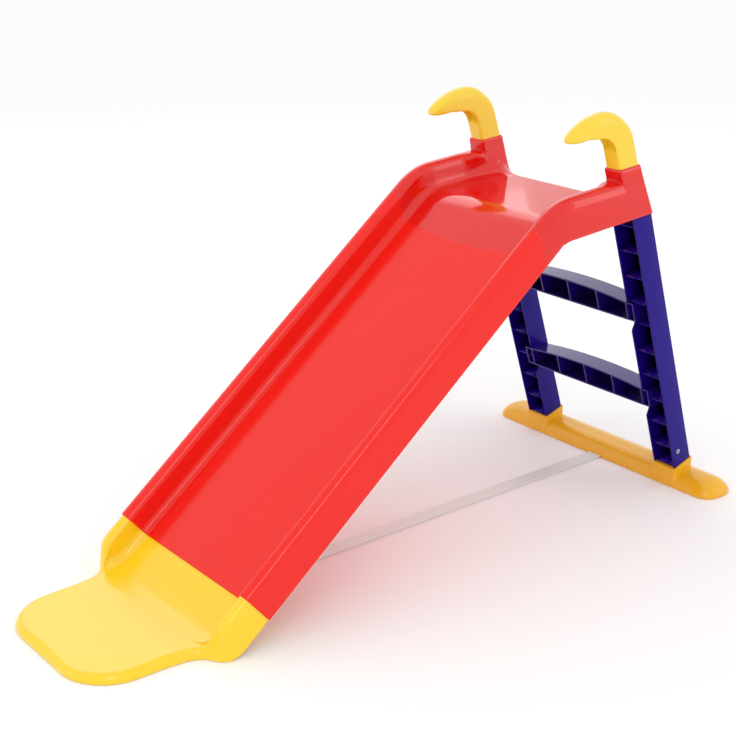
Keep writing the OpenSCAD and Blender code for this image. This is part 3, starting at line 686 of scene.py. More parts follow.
@dataclass
class Chute:
    """The straight channel between the two seams."""

    channel: Channel
    finishes: Finishes
    wall: float = 2.9
    gap: float = 0.9
    rim: float = 0.2
    rows: int = 60

    def build(self) -> bpy.types.Object:
        """Lofts the channel.

        Returns:
            The chute.
        """
        ch = self.channel
        section = ch.half(-ch.skirt_n)
        normal = skin_normals(section)
        y0, n0 = section[:, 0], section[:, 1]
        last = ch.seam_s(y0, n0, self.gap)
        near = np.array([0.0, 0.12, 0.35, 0.7, 1.1, 4.0])
        grid = []
        for d in near:
            grid.append(self._row(y0, n0, normal, np.full_like(y0, self.gap + d), np.full_like(y0, d)))
        for share in np.linspace(0, 1, self.rows)[1:-1]:
            s = (self.gap + 4.0) * (1 - share) + (last - 4.0) * share
            grid.append(self._row(y0, n0, normal, s, np.full_like(y0, 9.0)))
        for d in near[::-1]:
            grid.append(self._row(y0, n0, normal, last - d, np.full_like(y0, d)))
        shape = Shape("chute_channel")
        shape.grid(whole(np.array(grid)), flip=True)
        return shape.finish(self.finishes.chute, ["chute"], wall=self.wall, round_edges=0.25)

    def _row(self, y0: np.ndarray, n0: np.ndarray, normal: np.ndarray, s: np.ndarray,
             d: np.ndarray) -> np.ndarray:
        """One row of the channel, its skin sunk a little near an end."""
        drop = edge_drop(d, self.rim)
        return self.channel.on_slope(s, y0 - normal[:, 0] * drop, n0 - normal[:, 1] * drop)


# ---- Platform -------------------------------------------------------------------------------


@dataclass
class Platform:
    """The bend, the level platform, its handle seats, its rolled back edge and the leg sockets."""

    channel: Channel
    finishes: Finishes
    wall: float = 2.9
    leg_lean: float = 17.85
    leg_d: float = 49.5
    seat_n: float = 23.5
    seat_out_y: float = 202.0
    seat_in_y: float = 166.0
    roll_r: float = 30.0
    rim: float = 0.2
    skirt_bend_r: float = 60.0
    sweep_h: float = 35.0
    socket_top_n: float = -52.5
    sweep_w: float = 58.0

    def build(self) -> bpy.types.Object:
        """Lofts the platform from the seam to its back edge.

        Returns:
            The platform.
        """
        ch = self.channel
        rows = self._slope_rows() + self._bend_rows() + self._level_rows()
        shape = Shape("platform_moulding")
        verts = shape.grid(whole(np.array(rows)), flip=True)
        self._back(shape, verts)
        self._lap(shape)
        self._sockets(shape)
        return shape.finish(self.finishes.platform, ["platform"], wall=self.wall,
                            round_edges=0.4)

    @property
    def shear(self) -> float:
        """How far a leaning plane moves back for each unit down, in the platform's frame."""
        return tan(self.leg_lean - self.channel.tilt)

    def _skirt_line(self) -> np.ndarray:
        """Lower edge of the skirts in the side view."""
        ch = self.channel
        base = ch.seam + ch.skirt_n * square_to(ch.slope)
        heel = ch.corner + ch.platform_l * along(ch.tilt) + ch.platform_n * square_to(ch.tilt)
        n = square_to(ch.tilt)
        corner = base + ((heel - base) @ n) / (along(ch.slope) @ n) * along(ch.slope)
        turn = ch.slope - ch.tilt
        centre = (corner + self.skirt_bend_r * tan(turn / 2) * along(ch.tilt)
                  - self.skirt_bend_r * square_to(ch.tilt))
        angles = np.linspace(ch.slope, ch.tilt, 14)
        curve = np.array([centre + self.skirt_bend_r * square_to(a) for a in angles])
        return np.concatenate([[base + 500 * along(ch.slope)], curve, [heel + 60 * along(ch.tilt)]])

    def _slope_rows(self) -> list[np.ndarray]:
        """Rows from the upper seam to the start of the bend."""
        ch = self.channel
        section = ch.half(-ch.skirt_n)
        normal = skin_normals(section)
        y0, n0 = section[:, 0], section[:, 1]
        first = ch.seam_s(y0, n0, -0.9)
        stop = ch.chute_l + ch.entry_l - ch.bend_r * tan((ch.slope - ch.tilt) / 2)
        rows = []
        for d in (0.0, 0.12, 0.35, 0.7, 1.1):
            drop = edge_drop(np.full_like(y0, d), self.rim)
            rows.append(ch.on_slope(first + d, y0 - normal[:, 0] * drop, n0 - normal[:, 1] * drop))
        for share in np.linspace(0, 1, 10)[1:]:
            rows.append(ch.on_slope((first + 1.1) * (1 - share) + stop * share, y0, n0))
        return rows

    def _bend_rows(self) -> list[np.ndarray]:
        """Rows round the bend, with the skirt's foot on its own tighter curve."""
        ch = self.channel
        reach = ch.bend_r * tan((ch.slope - ch.tilt) / 2)
        centre = ch.corner + reach * along(ch.tilt) - ch.bend_r * square_to(ch.tilt)
        line = self._skirt_line()
        rows = []
        for angle in np.linspace(ch.slope, ch.tilt, 26)[1:]:
            up = square_to(angle)
            top = centre + ch.bend_r * up
            depth = crossing(top, -up, line)
            section = ch.half(depth)
            side = top + section[:, 1:2] * up
            rows.append(np.stack([side[:, 0], section[:, 0], side[:, 1]], 1))
        return rows

    def _raised(self, floor_n: float) -> np.ndarray:
        """Half section through a handle seat, with as many points as the plain section.

        Args:
            floor_n: height of the floor there.

        Returns:
            The points [y, n] from the skirt's foot to the middle of the floor.
        """
        ch = self.channel
        depth = -ch.platform_n
        plain = ch.half(depth)
        out = plain[:ch.n_skirt - 1].copy()
        join = plain[ch.n_skirt - 1]
        r = 1.6
        top = np.array([self.seat_out_y, self.seat_n - r])
        rise = join + (top - join) * np.linspace(0, 1, 7)[:, None]
        a = np.linspace(0.25, math.pi / 2, 4)
        outer = np.stack([self.seat_out_y - r + r * np.cos(a), self.seat_n - r + r * np.sin(a)], 1)
        b = np.linspace(math.pi / 2, math.pi, 5)
        inner = np.stack([self.seat_in_y + r + r * np.cos(b), self.seat_n - r + r * np.sin(b)], 1)
        across = outer[-1] + (inner[0] - outer[-1]) * np.linspace(0, 1, 6)[1:-1, None]
        crown = np.concatenate([rise, outer, across, inner])
        sweep_top = np.array([self.seat_in_y + 0.3, floor_n + self.sweep_h])
        wall = crown[-1] + (sweep_top - crown[-1]) * np.linspace(0, 1, ch.n_wall + 1)[1:-1, None]
        t = np.linspace(0, math.pi / 2, ch.n_fillet)
        power = 0.86
        sweep = np.stack([self.seat_in_y + 0.3 - self.sweep_w * (1 - np.cos(t) ** power),
                          floor_n + self.sweep_h * (1 - np.sin(t) ** power)], 1)
        floor = sweep[-1] + (np.array([0.0, floor_n]) - sweep[-1]) * np.linspace(
            0, 1, ch.n_floor + 1)[1:, None]
        return np.concatenate([out, crown, wall, sweep, floor])

    def _shoulder(self, raised: np.ndarray) -> np.ndarray:
        """The crown in front of a seat, already as wide as the seat but not yet raised."""
        ch = self.channel
        y = raised[:, 0]
        r, soft = ch.crown_r, 8.0
        out = -r + np.sqrt(np.maximum(r**2 - np.clip(y - ch.crown_y, 0.0, r)**2, 0.0))
        inner = self.seat_in_y + soft - np.minimum(y, self.seat_in_y + soft)
        return np.stack([y, out - soft + np.sqrt(np.maximum(soft**2 - inner**2, 0.0))], 1)

    def _level_rows(self) -> list[np.ndarray]:
        """Rows of the level platform: plain, then raised at the seats, then rolled down."""
        ch = self.channel
        reach = ch.bend_r * tan((ch.slope - ch.tilt) / 2)
        front = ch.platform_l - self.leg_d / math.cos(math.radians(self.leg_lean - ch.tilt))
        roll_x = ch.platform_l - math.sqrt(self.roll_r**2 - (self.roll_r - 20.0)**2)
        plain = ch.half(-ch.platform_n)
        crown = slice(ch.n_skirt - 1, ch.n_skirt - 1 + ch.n_crown)
        wall = slice(crown.stop, crown.stop + ch.n_wall - 1)
        inside = slice(wall.stop, len(plain))
        share = np.linspace(0, 1, ch.n_wall + 1)[1:-1, None]
        plan: list[tuple[float, float, float]] = []
        for x in np.linspace(reach, front - 14.0, 18)[1:]:
            plan.append((x, 0.0, 0.0))
        for off, rise in ((-10.0, 0.0), (-7.0, 0.0), (-4.6, 0.01), (-2.9, 0.04), (-1.5, 0.10), (-0.6, 0.19),
                          (-0.1, 0.32), (0.0, 0.45), (0.0, 0.90), (0.1, 0.955), (0.5, 0.985), (1.3, 1.0)):
            plan.append((front + off, rise, 0.0))
        for off in np.linspace(1.3, self.leg_d + 1.2 - 2.6, 22)[1:]:
            plan.append((front + off, 1.0, 0.0))
        for sunk in (1.3, 0.7, 0.3, 0.0):
            plan.append((ch.platform_l - sunk, 1.0, edge_drop(np.array([sunk]), 1.3)[0]))
        rows = []
        for x, rise, sink in plan:
            drop = 0.0
            lean = float(smooth(x, front - 90.0, front - 10.0))
            floor_x = x + 4.5 * lean
            if floor_x > roll_x:
                run = min(floor_x - roll_x, self.roll_r - 0.5)
                drop = self.roll_r - math.sqrt(self.roll_r**2 - run**2)
            floor_n = ch.floor_n - drop
            raised = self._raised(floor_n)
            widen = float(smooth(x, front - 70.0, ch.platform_l - 6.0))
            section = plain.copy()
            section[inside] = plain[inside] * (1 - widen) + raised[inside] * widen
            side = float(smooth(x, front - 66.0, front - 10.0))
            shoulder = plain[crown] * (1 - side) + self._shoulder(raised[crown]) * side
            section[crown] = shoulder * (1 - rise) + raised[crown] * rise
            top, low = section[crown.stop - 1], section[inside.start]
            section[wall] = top + (low - top) * share
            if sink:
                normal = skin_normals(section)
                section = section - normal * sink
            y, n = section[:, 0], section[:, 1]
            place = x - lean * self.shear * (n - ch.platform_n)
            rows.append(ch.on_platform(place, y, n))
        return rows

    def _back(self, shape: Shape, verts: list[list]) -> None:
        """Closes the backs of the seats and hangs the roll's apron between them."""
        ch = self.channel
        last = verts[-1]
        count = len(last)
        stub = ch.n_skirt - 1 + ch.n_crown + ch.n_wall
        floor_cols = range(stub - 1, count - stub + 1)
        lower = []
        for i in floor_cols:
            co = last[i].co / MM
            flat = self._heel(co.y)
            lower.append(shape.mesh.verts.new(Vector(flat) * MM))
        for k, i in enumerate(list(floor_cols)[:-1]):
            shape.face([last[i], last[i + 1], lower[k + 1], lower[k]][::-1])
        shape.face([*last[:stub], lower[0]][::-1])
        shape.face([*last[count - stub:], lower[-1]][::-1])

    def _heel(self, y: float) -> np.ndarray:
        """Point of the platform's back lower edge at a half width."""
        ch = self.channel
        return ch.on_platform(np.array(ch.platform_l), np.array(y), np.array(ch.platform_n))

    def _lap(self, shape: Shape) -> None:
        """The tongue that laps under the chute's upper end."""
        ch = self.channel
        section = ch.half(-ch.skirt_n - 4.0, inset=6.0)
        y0, n0 = section[:, 0], section[:, 1]
        rows = [ch.on_slope(ch.seam_s(y0, n0) + d, y0, n0) for d in np.linspace(-34.0, 12.0, 6)]
        shape.grid(whole(np.array(rows)), flip=True)

    def _sockets(self, shape: Shape) -> None:
        """Closed blocks under the seats, over the tops of the legs."""
        ch = self.channel
        front = ch.platform_l - self.leg_d / math.cos(math.radians(self.leg_lean - ch.tilt)) + 0.4
        for side in (1, -1):
            ring = []
            for n in (self.socket_top_n, ch.platform_n + 0.2):
                x_f, x_b = (x - self.shear * (n - ch.platform_n) for x in (front, ch.platform_l - 0.8))
                half_out = 208.2 + (-n - 50.0) * 0.14
                ring.append([ch.on_platform(np.array(x), np.array(side * y), np.array(n))
                             for x, y in ((x_f, 164.5), (x_b, 164.5), (x_b, half_out), (x_f, half_out))])
            rows = shape.grid(np.array(ring), closed=True, flip=side < 0)
            shape.face(rows[1] if side < 0 else rows[1][::-1])


# ---- Exit lip -------------------------------------------------------------------------------


@dataclass
class ExitLip:
    """The landing tongue and its two rail ears, one shell."""

    channel: Channel
    finishes: Finishes
    wall: float = 2.8
    top_z: float = 17.0
    front_z: float = 15.2
    half_w: float = 161.5
    corner_r: float = 92.0
    bend_r: float = 120.0
    toe_r: float = 50.0
    ear_reach: float = 53.0
    edge_r: float = 14.0
    calm_rounds: int = 40
    calm_start: tuple[float, float] = (474.0, 484.0)
    calm_end: tuple[float, float] = (505.0, 530.0)
    foot_lift: float = 0.8
    lift_fade: float = 10.0

    def build(self) -> bpy.types.Object:
        """Lofts the shell round the tongue's outline and mirrors it.

        Returns:
            The exit lip.
        """
        keys = np.array(self._ear_keys() + self._tongue_keys())
        steps = np.linalg.norm(np.diff(keys, axis=0), axis=2).mean(axis=1)
        places = np.concatenate([[0.0], np.cumsum(np.maximum(steps, 0.4))])
        wanted = [np.linspace(a, b, max(2, int((b - a) / 2.2)) + 1)[:-1]
                  for a, b in zip(places[:-1], places[1:])]
        wanted = np.concatenate(wanted + [[places[-1]]])
        half = monotone(keys, places, wanted)
        for _ in range(self.calm_rounds):
            back = -half[1:-1, :, :1]
            calm = 0.5 * smooth(back, *self.calm_start) * (1 - smooth(back, *self.calm_end))
            half[1:-1] += calm * ((half[:-2] + half[2:]) / 2 - half[1:-1])
        half[..., 2] += self.foot_lift * np.clip(1.0 - half[..., 2] / self.lift_fade, 0.0, 1.0)
        shape = Shape("exit_lip_shell")
        shape.grid(half, flip=True)
        other = half.copy()
        other[..., 1] *= -1
        shape.grid(other)
        self._lap(shape)
        return shape.finish(self.finishes.lip, ["exit_lip"], wall=self.wall, round_edges=0.4,
                            weld=0.08)

    def _floor_curve(self) -> np.ndarray:
        """Side view of the floor from the seam to the tongue, dense."""
        ch = self.channel
        start = ch.seam + ch.floor_n * square_to(ch.slope)
        corner_x = start[0] - (start[1] - self.top_z) / tan(ch.slope)
        reach = self.bend_r * tan(ch.slope / 2)
        centre = np.array([corner_x - reach, self.top_z + self.bend_r])
        arc = np.array([centre - self.bend_r * square_to(a) for a in np.linspace(ch.slope, 0, 30)])
        return np.concatenate([[start], arc, [[arc[-1][0] - 200.0, self.top_z]]])

    def _floor_z(self, x: float) -> float:
        """Height of the floor at x."""
        line = self._floor_curve()[::-1]
        return float(np.interp(x, line[:, 0], line[:, 1]))

    def _skirt_line(self) -> np.ndarray:
        """Lower edge of an ear in the side view, from the slope to the floor."""
        ch = self.channel
        base = ch.seam + ch.skirt_n * square_to(ch.slope)
        reach = self.toe_r * tan(ch.slope / 2)
        toe_x = base[0] - base[1] / tan(ch.slope) - reach
        centre = np.array([toe_x, self.toe_r])
        arc = np.array([centre - self.toe_r * square_to(a) for a in np.linspace(ch.slope, 0, 12)])
        return np.concatenate([[base + 40 * along(ch.slope)], arc, [[toe_x - 300.0, 0.0]]])

    def _ear_keys(self) -> list[np.ndarray]:
        """Key rows from the seam over the nose of the ear and down its front."""
        ch = self.channel
        sx, sz = ch.seam
        front = sx - self.ear_reach
        floor_0 = ch.seam + ch.floor_n * square_to(ch.slope)
        line = self._skirt_line()
        spec = [  # crown x and z, floor x at the fillet and at the middle, crown y and r, foot x and y
            (sx, sz, floor_0[0], floor_0[0], 192.0, 14.0, line[0][0], 0.0),
            (sx - 12.0, sz - 9.65, -417.0, -417.0, 192.0, 14.0, -410.0, 0.0),
            (sx - 24.0, sz - 19.3, -434.0, -435.0, 192.0, 14.0, -426.0, 0.0),
            (sx - 32.4, sz - 26.1, -449.0, -451.0, 191.8, 14.0, -440.0, 0.2),
            (sx - 39.2, sz - 32.1, -461.0, -464.0, 191.4, 14.0, -452.0, 0.7),
            (front + 7.6, 59.0, -470.0, -474.0, 190.6, 13.8, -462.0, 1.6),
            (front + 3.4, 49.5, -477.0, -482.0, 189.2, 13.4, -470.5, 3.0),
            (front + 0.6, 39.5, -483.0, -489.0, 186.6, 12.6, -478.0, 5.4),
            (front - 1.8, 30.0, -488.5, -496.0, 182.0, 11.5, -484.5, 10.0),
            (front - 5.6, 22.2, -494.0, -503.0, 175.2, 9.0, -490.2, 18.5),
        ]
        rows = []
        for cx, cz, fx, mx, cy, cr, foot_x, pull in spec:
            crown = np.array([cx, cz])
            floor = np.array([fx, self._floor_z(fx)]) if rows else floor_0
            middle = np.array([mx, self._floor_z(mx)]) if rows else floor_0
            foot = np.array([foot_x, float(np.interp(foot_x, line[::-1, 0], line[::-1, 1]))])
            if not rows:
                foot = ch.seam + ch.skirt_n * square_to(ch.slope)
            foot_y = ch.foot_y(-ch.skirt_n) + 0.6 * smooth(-foot_x, 395.0, 440.0) - pull
            rows.append(self._ear_row(crown, floor, middle, foot, foot_y, cy, cr))
        return rows

    def _ear_row(self, crown: np.ndarray, floor: np.ndarray, middle: np.ndarray, foot: np.ndarray,
                 foot_y: float, crown_y: float, crown_r: float) -> np.ndarray:
        """One half row through an ear.

        Args:
            crown: [x, z] of the crown.
            floor: [x, z] of the floor where the fillet meets it.
            middle: [x, z] of the floor on the centre line.
            foot: [x, z] of the skirt's foot.
            foot_y: half width at the foot.
            crown_y: half width at the crown's middle.
            crown_r: radius of the crown.

        Returns:
            The points from the foot to the middle.
        """
        ch = self.channel
        flare, draft = math.radians(ch.flare), math.radians(ch.draft)
        depth = float(np.linalg.norm(floor - crown))
        down = (floor - crown) / depth
        r = min(crown_r, max(depth * 0.5, 4.0))
        full = min(depth / 50.0, 1.0)
        fil = min(ch.fillet, max((depth - r) * 0.75, 5.0)) + 20.0 * (1 - full)
        fil_n = min(fil, max(depth - r * 0.9, 1.0))
        a = np.linspace(flare, math.pi - draft, ch.n_crown)
        arc = np.stack([crown_y + r * np.cos(a), -r + r * np.sin(a)], 1)
        wall_y = arc[-1][0] - max(depth - fil_n - r, 0.0) * math.tan(draft)
        b = np.linspace(0.0, math.pi / 2, ch.n_fillet)
        fillet = np.stack([wall_y - fil * (1 - np.cos(b)), -depth + fil_n * (1 - np.sin(b))], 1)
        wall = arc[-1] + (fillet[0] - arc[-1]) * np.linspace(0, 1, ch.n_wall + 1)[1:-1, None]
        section = np.concatenate([arc, wall, fillet])
        side = crown + (-section[:, 1:2]) * down
        upper = np.stack([side[:, 0], section[:, 0], side[:, 1]], 1)
        base = np.array([foot[0], foot_y, foot[1]])
        skirt = base + (upper[0] - base) * np.linspace(0, 1, ch.n_skirt)[:-1, None]
        centre = np.array([middle[0], 0.0, middle[1]])
        across = upper[-1] + (centre - upper[-1]) * np.linspace(0, 1, ch.n_floor + 1)[1:, None]
        across[:, 2] = [self._floor_z(x) for x in across[:, 0]]
        return np.concatenate([skirt, upper, across])

    def _tongue_keys(self) -> list[np.ndarray]:
        """Key rows round the tongue, each from its rim in to the spine."""
        ch = self.channel
        front_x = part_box("exit_lip")[0].x / MM
        cx, cy = front_x + self.corner_r, self.half_w - self.corner_r
        start = ch.seam[0] - self.ear_reach
        rim = [(start - 11.0, 182.0, start - 26.0), (start - 19.0, 173.8, start - 35.0),
               (start - 32.0, 168.2, start - 46.0), (start - 56.0, 164.4, start - 66.0),
               (start - 84.0, 162.2, start - 90.0), (cx, self.half_w, cx + 1.0)]
        keys = [(np.array([x, y]), np.array([sx, 0.0])) for x, y, sx in rim]
        for angle in (12, 24, 36, 48, 60, 72, 84, 90):
            a = math.radians(angle)
            keys.append((np.array([cx - self.corner_r * math.sin(a), cy + self.corner_r * math.cos(a)]),
                         np.array([cx, 0.0])))
        for share in (0.75, 0.5, 0.25, 0.0):
            keys.append((np.array([front_x, cy * share]), np.array([cx, 0.0])))
        return [self._tongue_row(edge, spine) for edge, spine in keys]

    def _tongue_row(self, edge: np.ndarray, spine: np.ndarray) -> np.ndarray:
        """One half row from the rim at edge to the spine, both in plan."""
        ch = self.channel
        length = float(np.linalg.norm(spine - edge))
        inward = (spine - edge) / length
        e = self.edge_r
        t = np.linspace(0, 1, ch.n_skirt)[:-1]
        ins, z = [*(0.35 * t)], [*(3.2 * t)]
        a = np.linspace(0, math.pi / 2, ch.n_crown)
        ins += [*(0.35 + e * (1 - np.cos(a)))]
        z += [*(3.2 + (self.top_z - 3.2) * np.sin(a))]
        w = np.linspace(0, 1, ch.n_wall + 1)[1:-1]
        ins += [*(0.35 + e + 9.0 * w)]
        z += [self.top_z] * len(w)
        f = np.linspace(0, 1, ch.n_fillet)
        ins += [*(0.35 + e + 9.0 + 1.0 + 36.0 * f)]
        z += [self.top_z] * len(f)
        last = ins[-1]
        g = np.linspace(0, 1, ch.n_floor + 1)[1:]
        ins += [*(last + (length - last) * g)]
        z += [self.top_z] * len(g)
        ins, z = np.array(ins), np.array(z)
        plan = edge + ins[:, None] * inward
        low = smooth(-plan[:, 0], 540.0, 705.0) * (self.top_z - self.front_z)
        rise = np.array([self._floor_z(x) for x in plan[:, 0]]) - self.top_z
        return np.stack([plan[:, 0], plan[:, 1], z * (1 - low / self.top_z) + rise * (z / self.top_z)], 1)

    def _lap(self, shape: Shape) -> None:
        """The tongue that laps under the chute's lower end."""
        ch = self.channel
        section = ch.half(-ch.skirt_n - 4.0, inset=6.0)
        y0, n0 = section[:, 0], section[:, 1]
        rows = [ch.on_slope(np.full_like(y0, d), y0, n0) for d in np.linspace(-8.0, 36.0, 6)]
        shape.grid(whole(np.array(rows)), flip=True)


# ---- Handles --------------------------------------------------------------------------------


@dataclass
class Handle:
    """One hooked handle: a flat-sided stub, a bend with an open recess, and a tapering grip."""

    channel: Channel
    finishes: Finishes
    side: int
    width: float = 36.0
    mid_y: float = 184.0
    lean: float = 17.85
    depth: float = 50.8
    seat_n: float = 23.5
    top_rise: float = 106.0
    back_r: float = 72.0
    front_r: float = 128.0
    under_r: float = 40.0
    rows: int = 110

    def build(self) -> bpy.types.Object:
        """Sweeps the rounded section along the handle.

        Returns:
            The handle.
        """
        outer, inner = self._lines()
        name = "left" if self.side > 0 else "right"
        ring = []
        count = len(outer)
        for i, (o, u) in enumerate(zip(outer, inner)):
            ring.append(self._section(o, u, i / (count - 1)))
        shape = Shape(f"handle_{name}_grip")
        rows = shape.grid(np.array(ring), closed=True, flip=self.side > 0)
        shape.face(rows[0] if self.side > 0 else rows[0][::-1])
        shape.face(rows[-1][::-1] if self.side > 0 else rows[-1])
        return shape.finish(self.finishes.handle, [f"handle_{name}"], weld=0.01,
                            smooth_angle=42.0)

    def _lines(self) -> tuple[np.ndarray, np.ndarray]:
        """Outer and inner outlines in the side view, matched point for point."""
        ch = self.channel
        shear = tan(self.lean - ch.tilt)
        back_x = ch.platform_l - (-ch.platform_n + self.seat_n) * shear
        seat_b = ch.corner + back_x * along(ch.tilt) + self.seat_n * square_to(ch.tilt)
        seat_f = seat_b - self.depth * along(ch.tilt)
        seat_b, seat_f = seat_b + np.array([0, 0.25]), seat_f + np.array([0, 0.25])
        top_z = seat_b[1] + self.top_rise - 0.25
        lean = math.radians(self.lean)
        top_x = seat_b[0] - (self.back_r * (1 - math.sin(lean))
                             + (top_z - seat_b[1]) * math.sin(lean)) / math.cos(lean)
        tip = np.array([seat_f[0] - 131.0, top_z - 41.0])
        c1 = np.array([top_x, top_z - self.back_r])
        c2 = np.array([top_x, top_z - self.front_r])
        end = math.acos(np.clip((tip[0] + 2.0 - c2[0]) / self.front_r, -1, 1))
        back = [seat_b + (c1 + self.back_r * along(self.lean) - seat_b) * t for t in np.linspace(0, 1, 14)]
        bend = [c1 + self.back_r * along(math.degrees(a)) for a in np.linspace(lean, math.pi / 2, 34)[1:]]
        grip = [c2 + self.front_r * along(math.degrees(a)) for a in np.linspace(math.pi / 2, end, 44)[1:]]
        outer = np.array(back + bend + grip)
        under_z = top_z - 45.5
        uc_z = under_z - self.under_r
        uc = np.array([seat_f[0] - (uc_z - seat_f[1]) * math.tan(lean) - self.under_r / math.cos(lean), uc_z])
        stub = [seat_f + (uc + self.under_r * along(self.lean) - seat_f) * t for t in np.linspace(0, 1, 25)]
        turn = [uc + self.under_r * along(math.degrees(a)) for a in np.linspace(lean, math.pi / 2, 22)[1:]]
        reach = np.linspace(0, 1, 60)[1:]
        low = [np.array([uc[0] + (tip[0] + 4.0 - uc[0]) * t,
                         under_z - 3.2 * smooth(t, 0.0, 0.7) + 1.6 * t**6]) for t in reach]
        inner = np.array(stub + turn + low)
        return self._even(outer, self.rows), self._paired(inner, outer)

    @staticmethod
    def _even(points: np.ndarray, count: int) -> np.ndarray:
        """Points spread evenly along a line."""
        d = np.concatenate([[0], np.cumsum(np.linalg.norm(np.diff(points, axis=0), axis=1))])
        t = np.linspace(0, d[-1], count)
        return np.stack([np.interp(t, d, points[:, k]) for k in (0, 1)], 1)

    def _paired(self, inner: np.ndarray, outer: np.ndarray) -> np.ndarray:
        """Inner points matched to the even outer points by stage: stub, bend and grip."""
        di = np.concatenate([[0], np.cumsum(np.linalg.norm(np.diff(inner, axis=0), axis=1))])
        do = np.concatenate([[0], np.cumsum(np.linalg.norm(np.diff(outer, axis=0), axis=1))])
        marks_o = [0.0, do[13], do[46], do[-1]]
        marks_i = [0.0, di[20], di[50], di[-1]]
        t = np.interp(np.linspace(0, do[-1], self.rows), marks_o, marks_i)
        return np.stack([np.interp(t, di, inner[:, k]) for k in (0, 1)], 1)

    def _section(self, outer: np.ndarray, inner: np.ndarray, share: float) -> np.ndarray:
        """One closed ring between an outer and an inner point.

        Args:
            outer: [x, z] on the outer outline.
            inner: [x, z] on the inner outline.
            share: place along the handle, 0 at the seat, 1 at the tip.

        Returns:
            The ring's points.
        """
        mid, span = (outer + inner) / 2, (outer - inner) / 2
        taper = 1.0 - 0.10 * float(smooth(share, 0.60, 0.90))
        nose = min(max((share - 0.78) / 0.22, 0.0), 1.0)
        half_w = self.width / 2 * taper * math.sqrt(max(1.0 - nose**2.6 * 0.97, 0.0))
        span = span * math.sqrt(max(1.0 - nose**16 * 0.95, 0.0))
        soft = float(smooth(share, 0.10, 0.42))
        top_p = 9.0 + (2.3 - 9.0) * soft
        low_p = 9.0 + (3.4 - 9.0) * float(smooth(share, 0.5, 0.75))
        angles = np.linspace(0, 2 * math.pi, 72, endpoint=False)
        ring = []
        for a in angles:
            c, s = math.cos(a), math.sin(a)
            p = top_p if s > 0 else low_p
            y = math.copysign(abs(c) ** (2 / p), c) * half_w
            v = math.copysign(abs(s) ** (2 / p), s)
            point = mid + span * v
            if v < 0 and 0.2 < share < 0.90:
                inside = 1 - float(smooth(abs(y), half_w - 5.2, half_w - 3.6))
                room = float(smooth(share, 0.262, 0.270)) * (1 - float(smooth(share, 0.78, 0.88)))
                hollow = min(11.0, float(np.linalg.norm(span)) * 1.1) * inside * room
                point = point + span / max(float(np.linalg.norm(span)), 1e-6) * hollow * smooth(-v, 0.55, 0.8)
            ring.append((point[0], self.side * (self.mid_y + y), point[1]))
        return np.array(ring)


# ---- Ladder and beam ------------------------------------------------------------------------


@dataclass
class MouldedCopy:
    """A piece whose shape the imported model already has, with its edges rounded as moulded."""

    node: str
    name: str
    slot: Slot
    material: bpy.types.Material
    round_edges: float = 1.0
    flat_angle: float = 1.0
    smooth_angle: float = 35.0
    steps: int = 3

    def build(self) -> bpy.types.Object:
        """Copies the node's mesh, cleans its flats and rounds its edges.

        Returns:
            The piece.
        """
        work = bmesh.new()
        work.from_mesh(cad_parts[self.node].data)
        bmesh.ops.remove_doubles(work, verts=work.verts, dist=1e-5)
        bmesh.ops.dissolve_limit(work, angle_limit=math.radians(self.flat_angle), verts=work.verts,
                                 edges=work.edges)
        shape = Shape(self.name)
        shape.mesh.free()
        shape.mesh = work
        return shape.finish(self.material, [self.node], round_edges=self.round_edges,
                            weld=0.01, smooth_angle=self.smooth_angle, round_steps=self.steps)


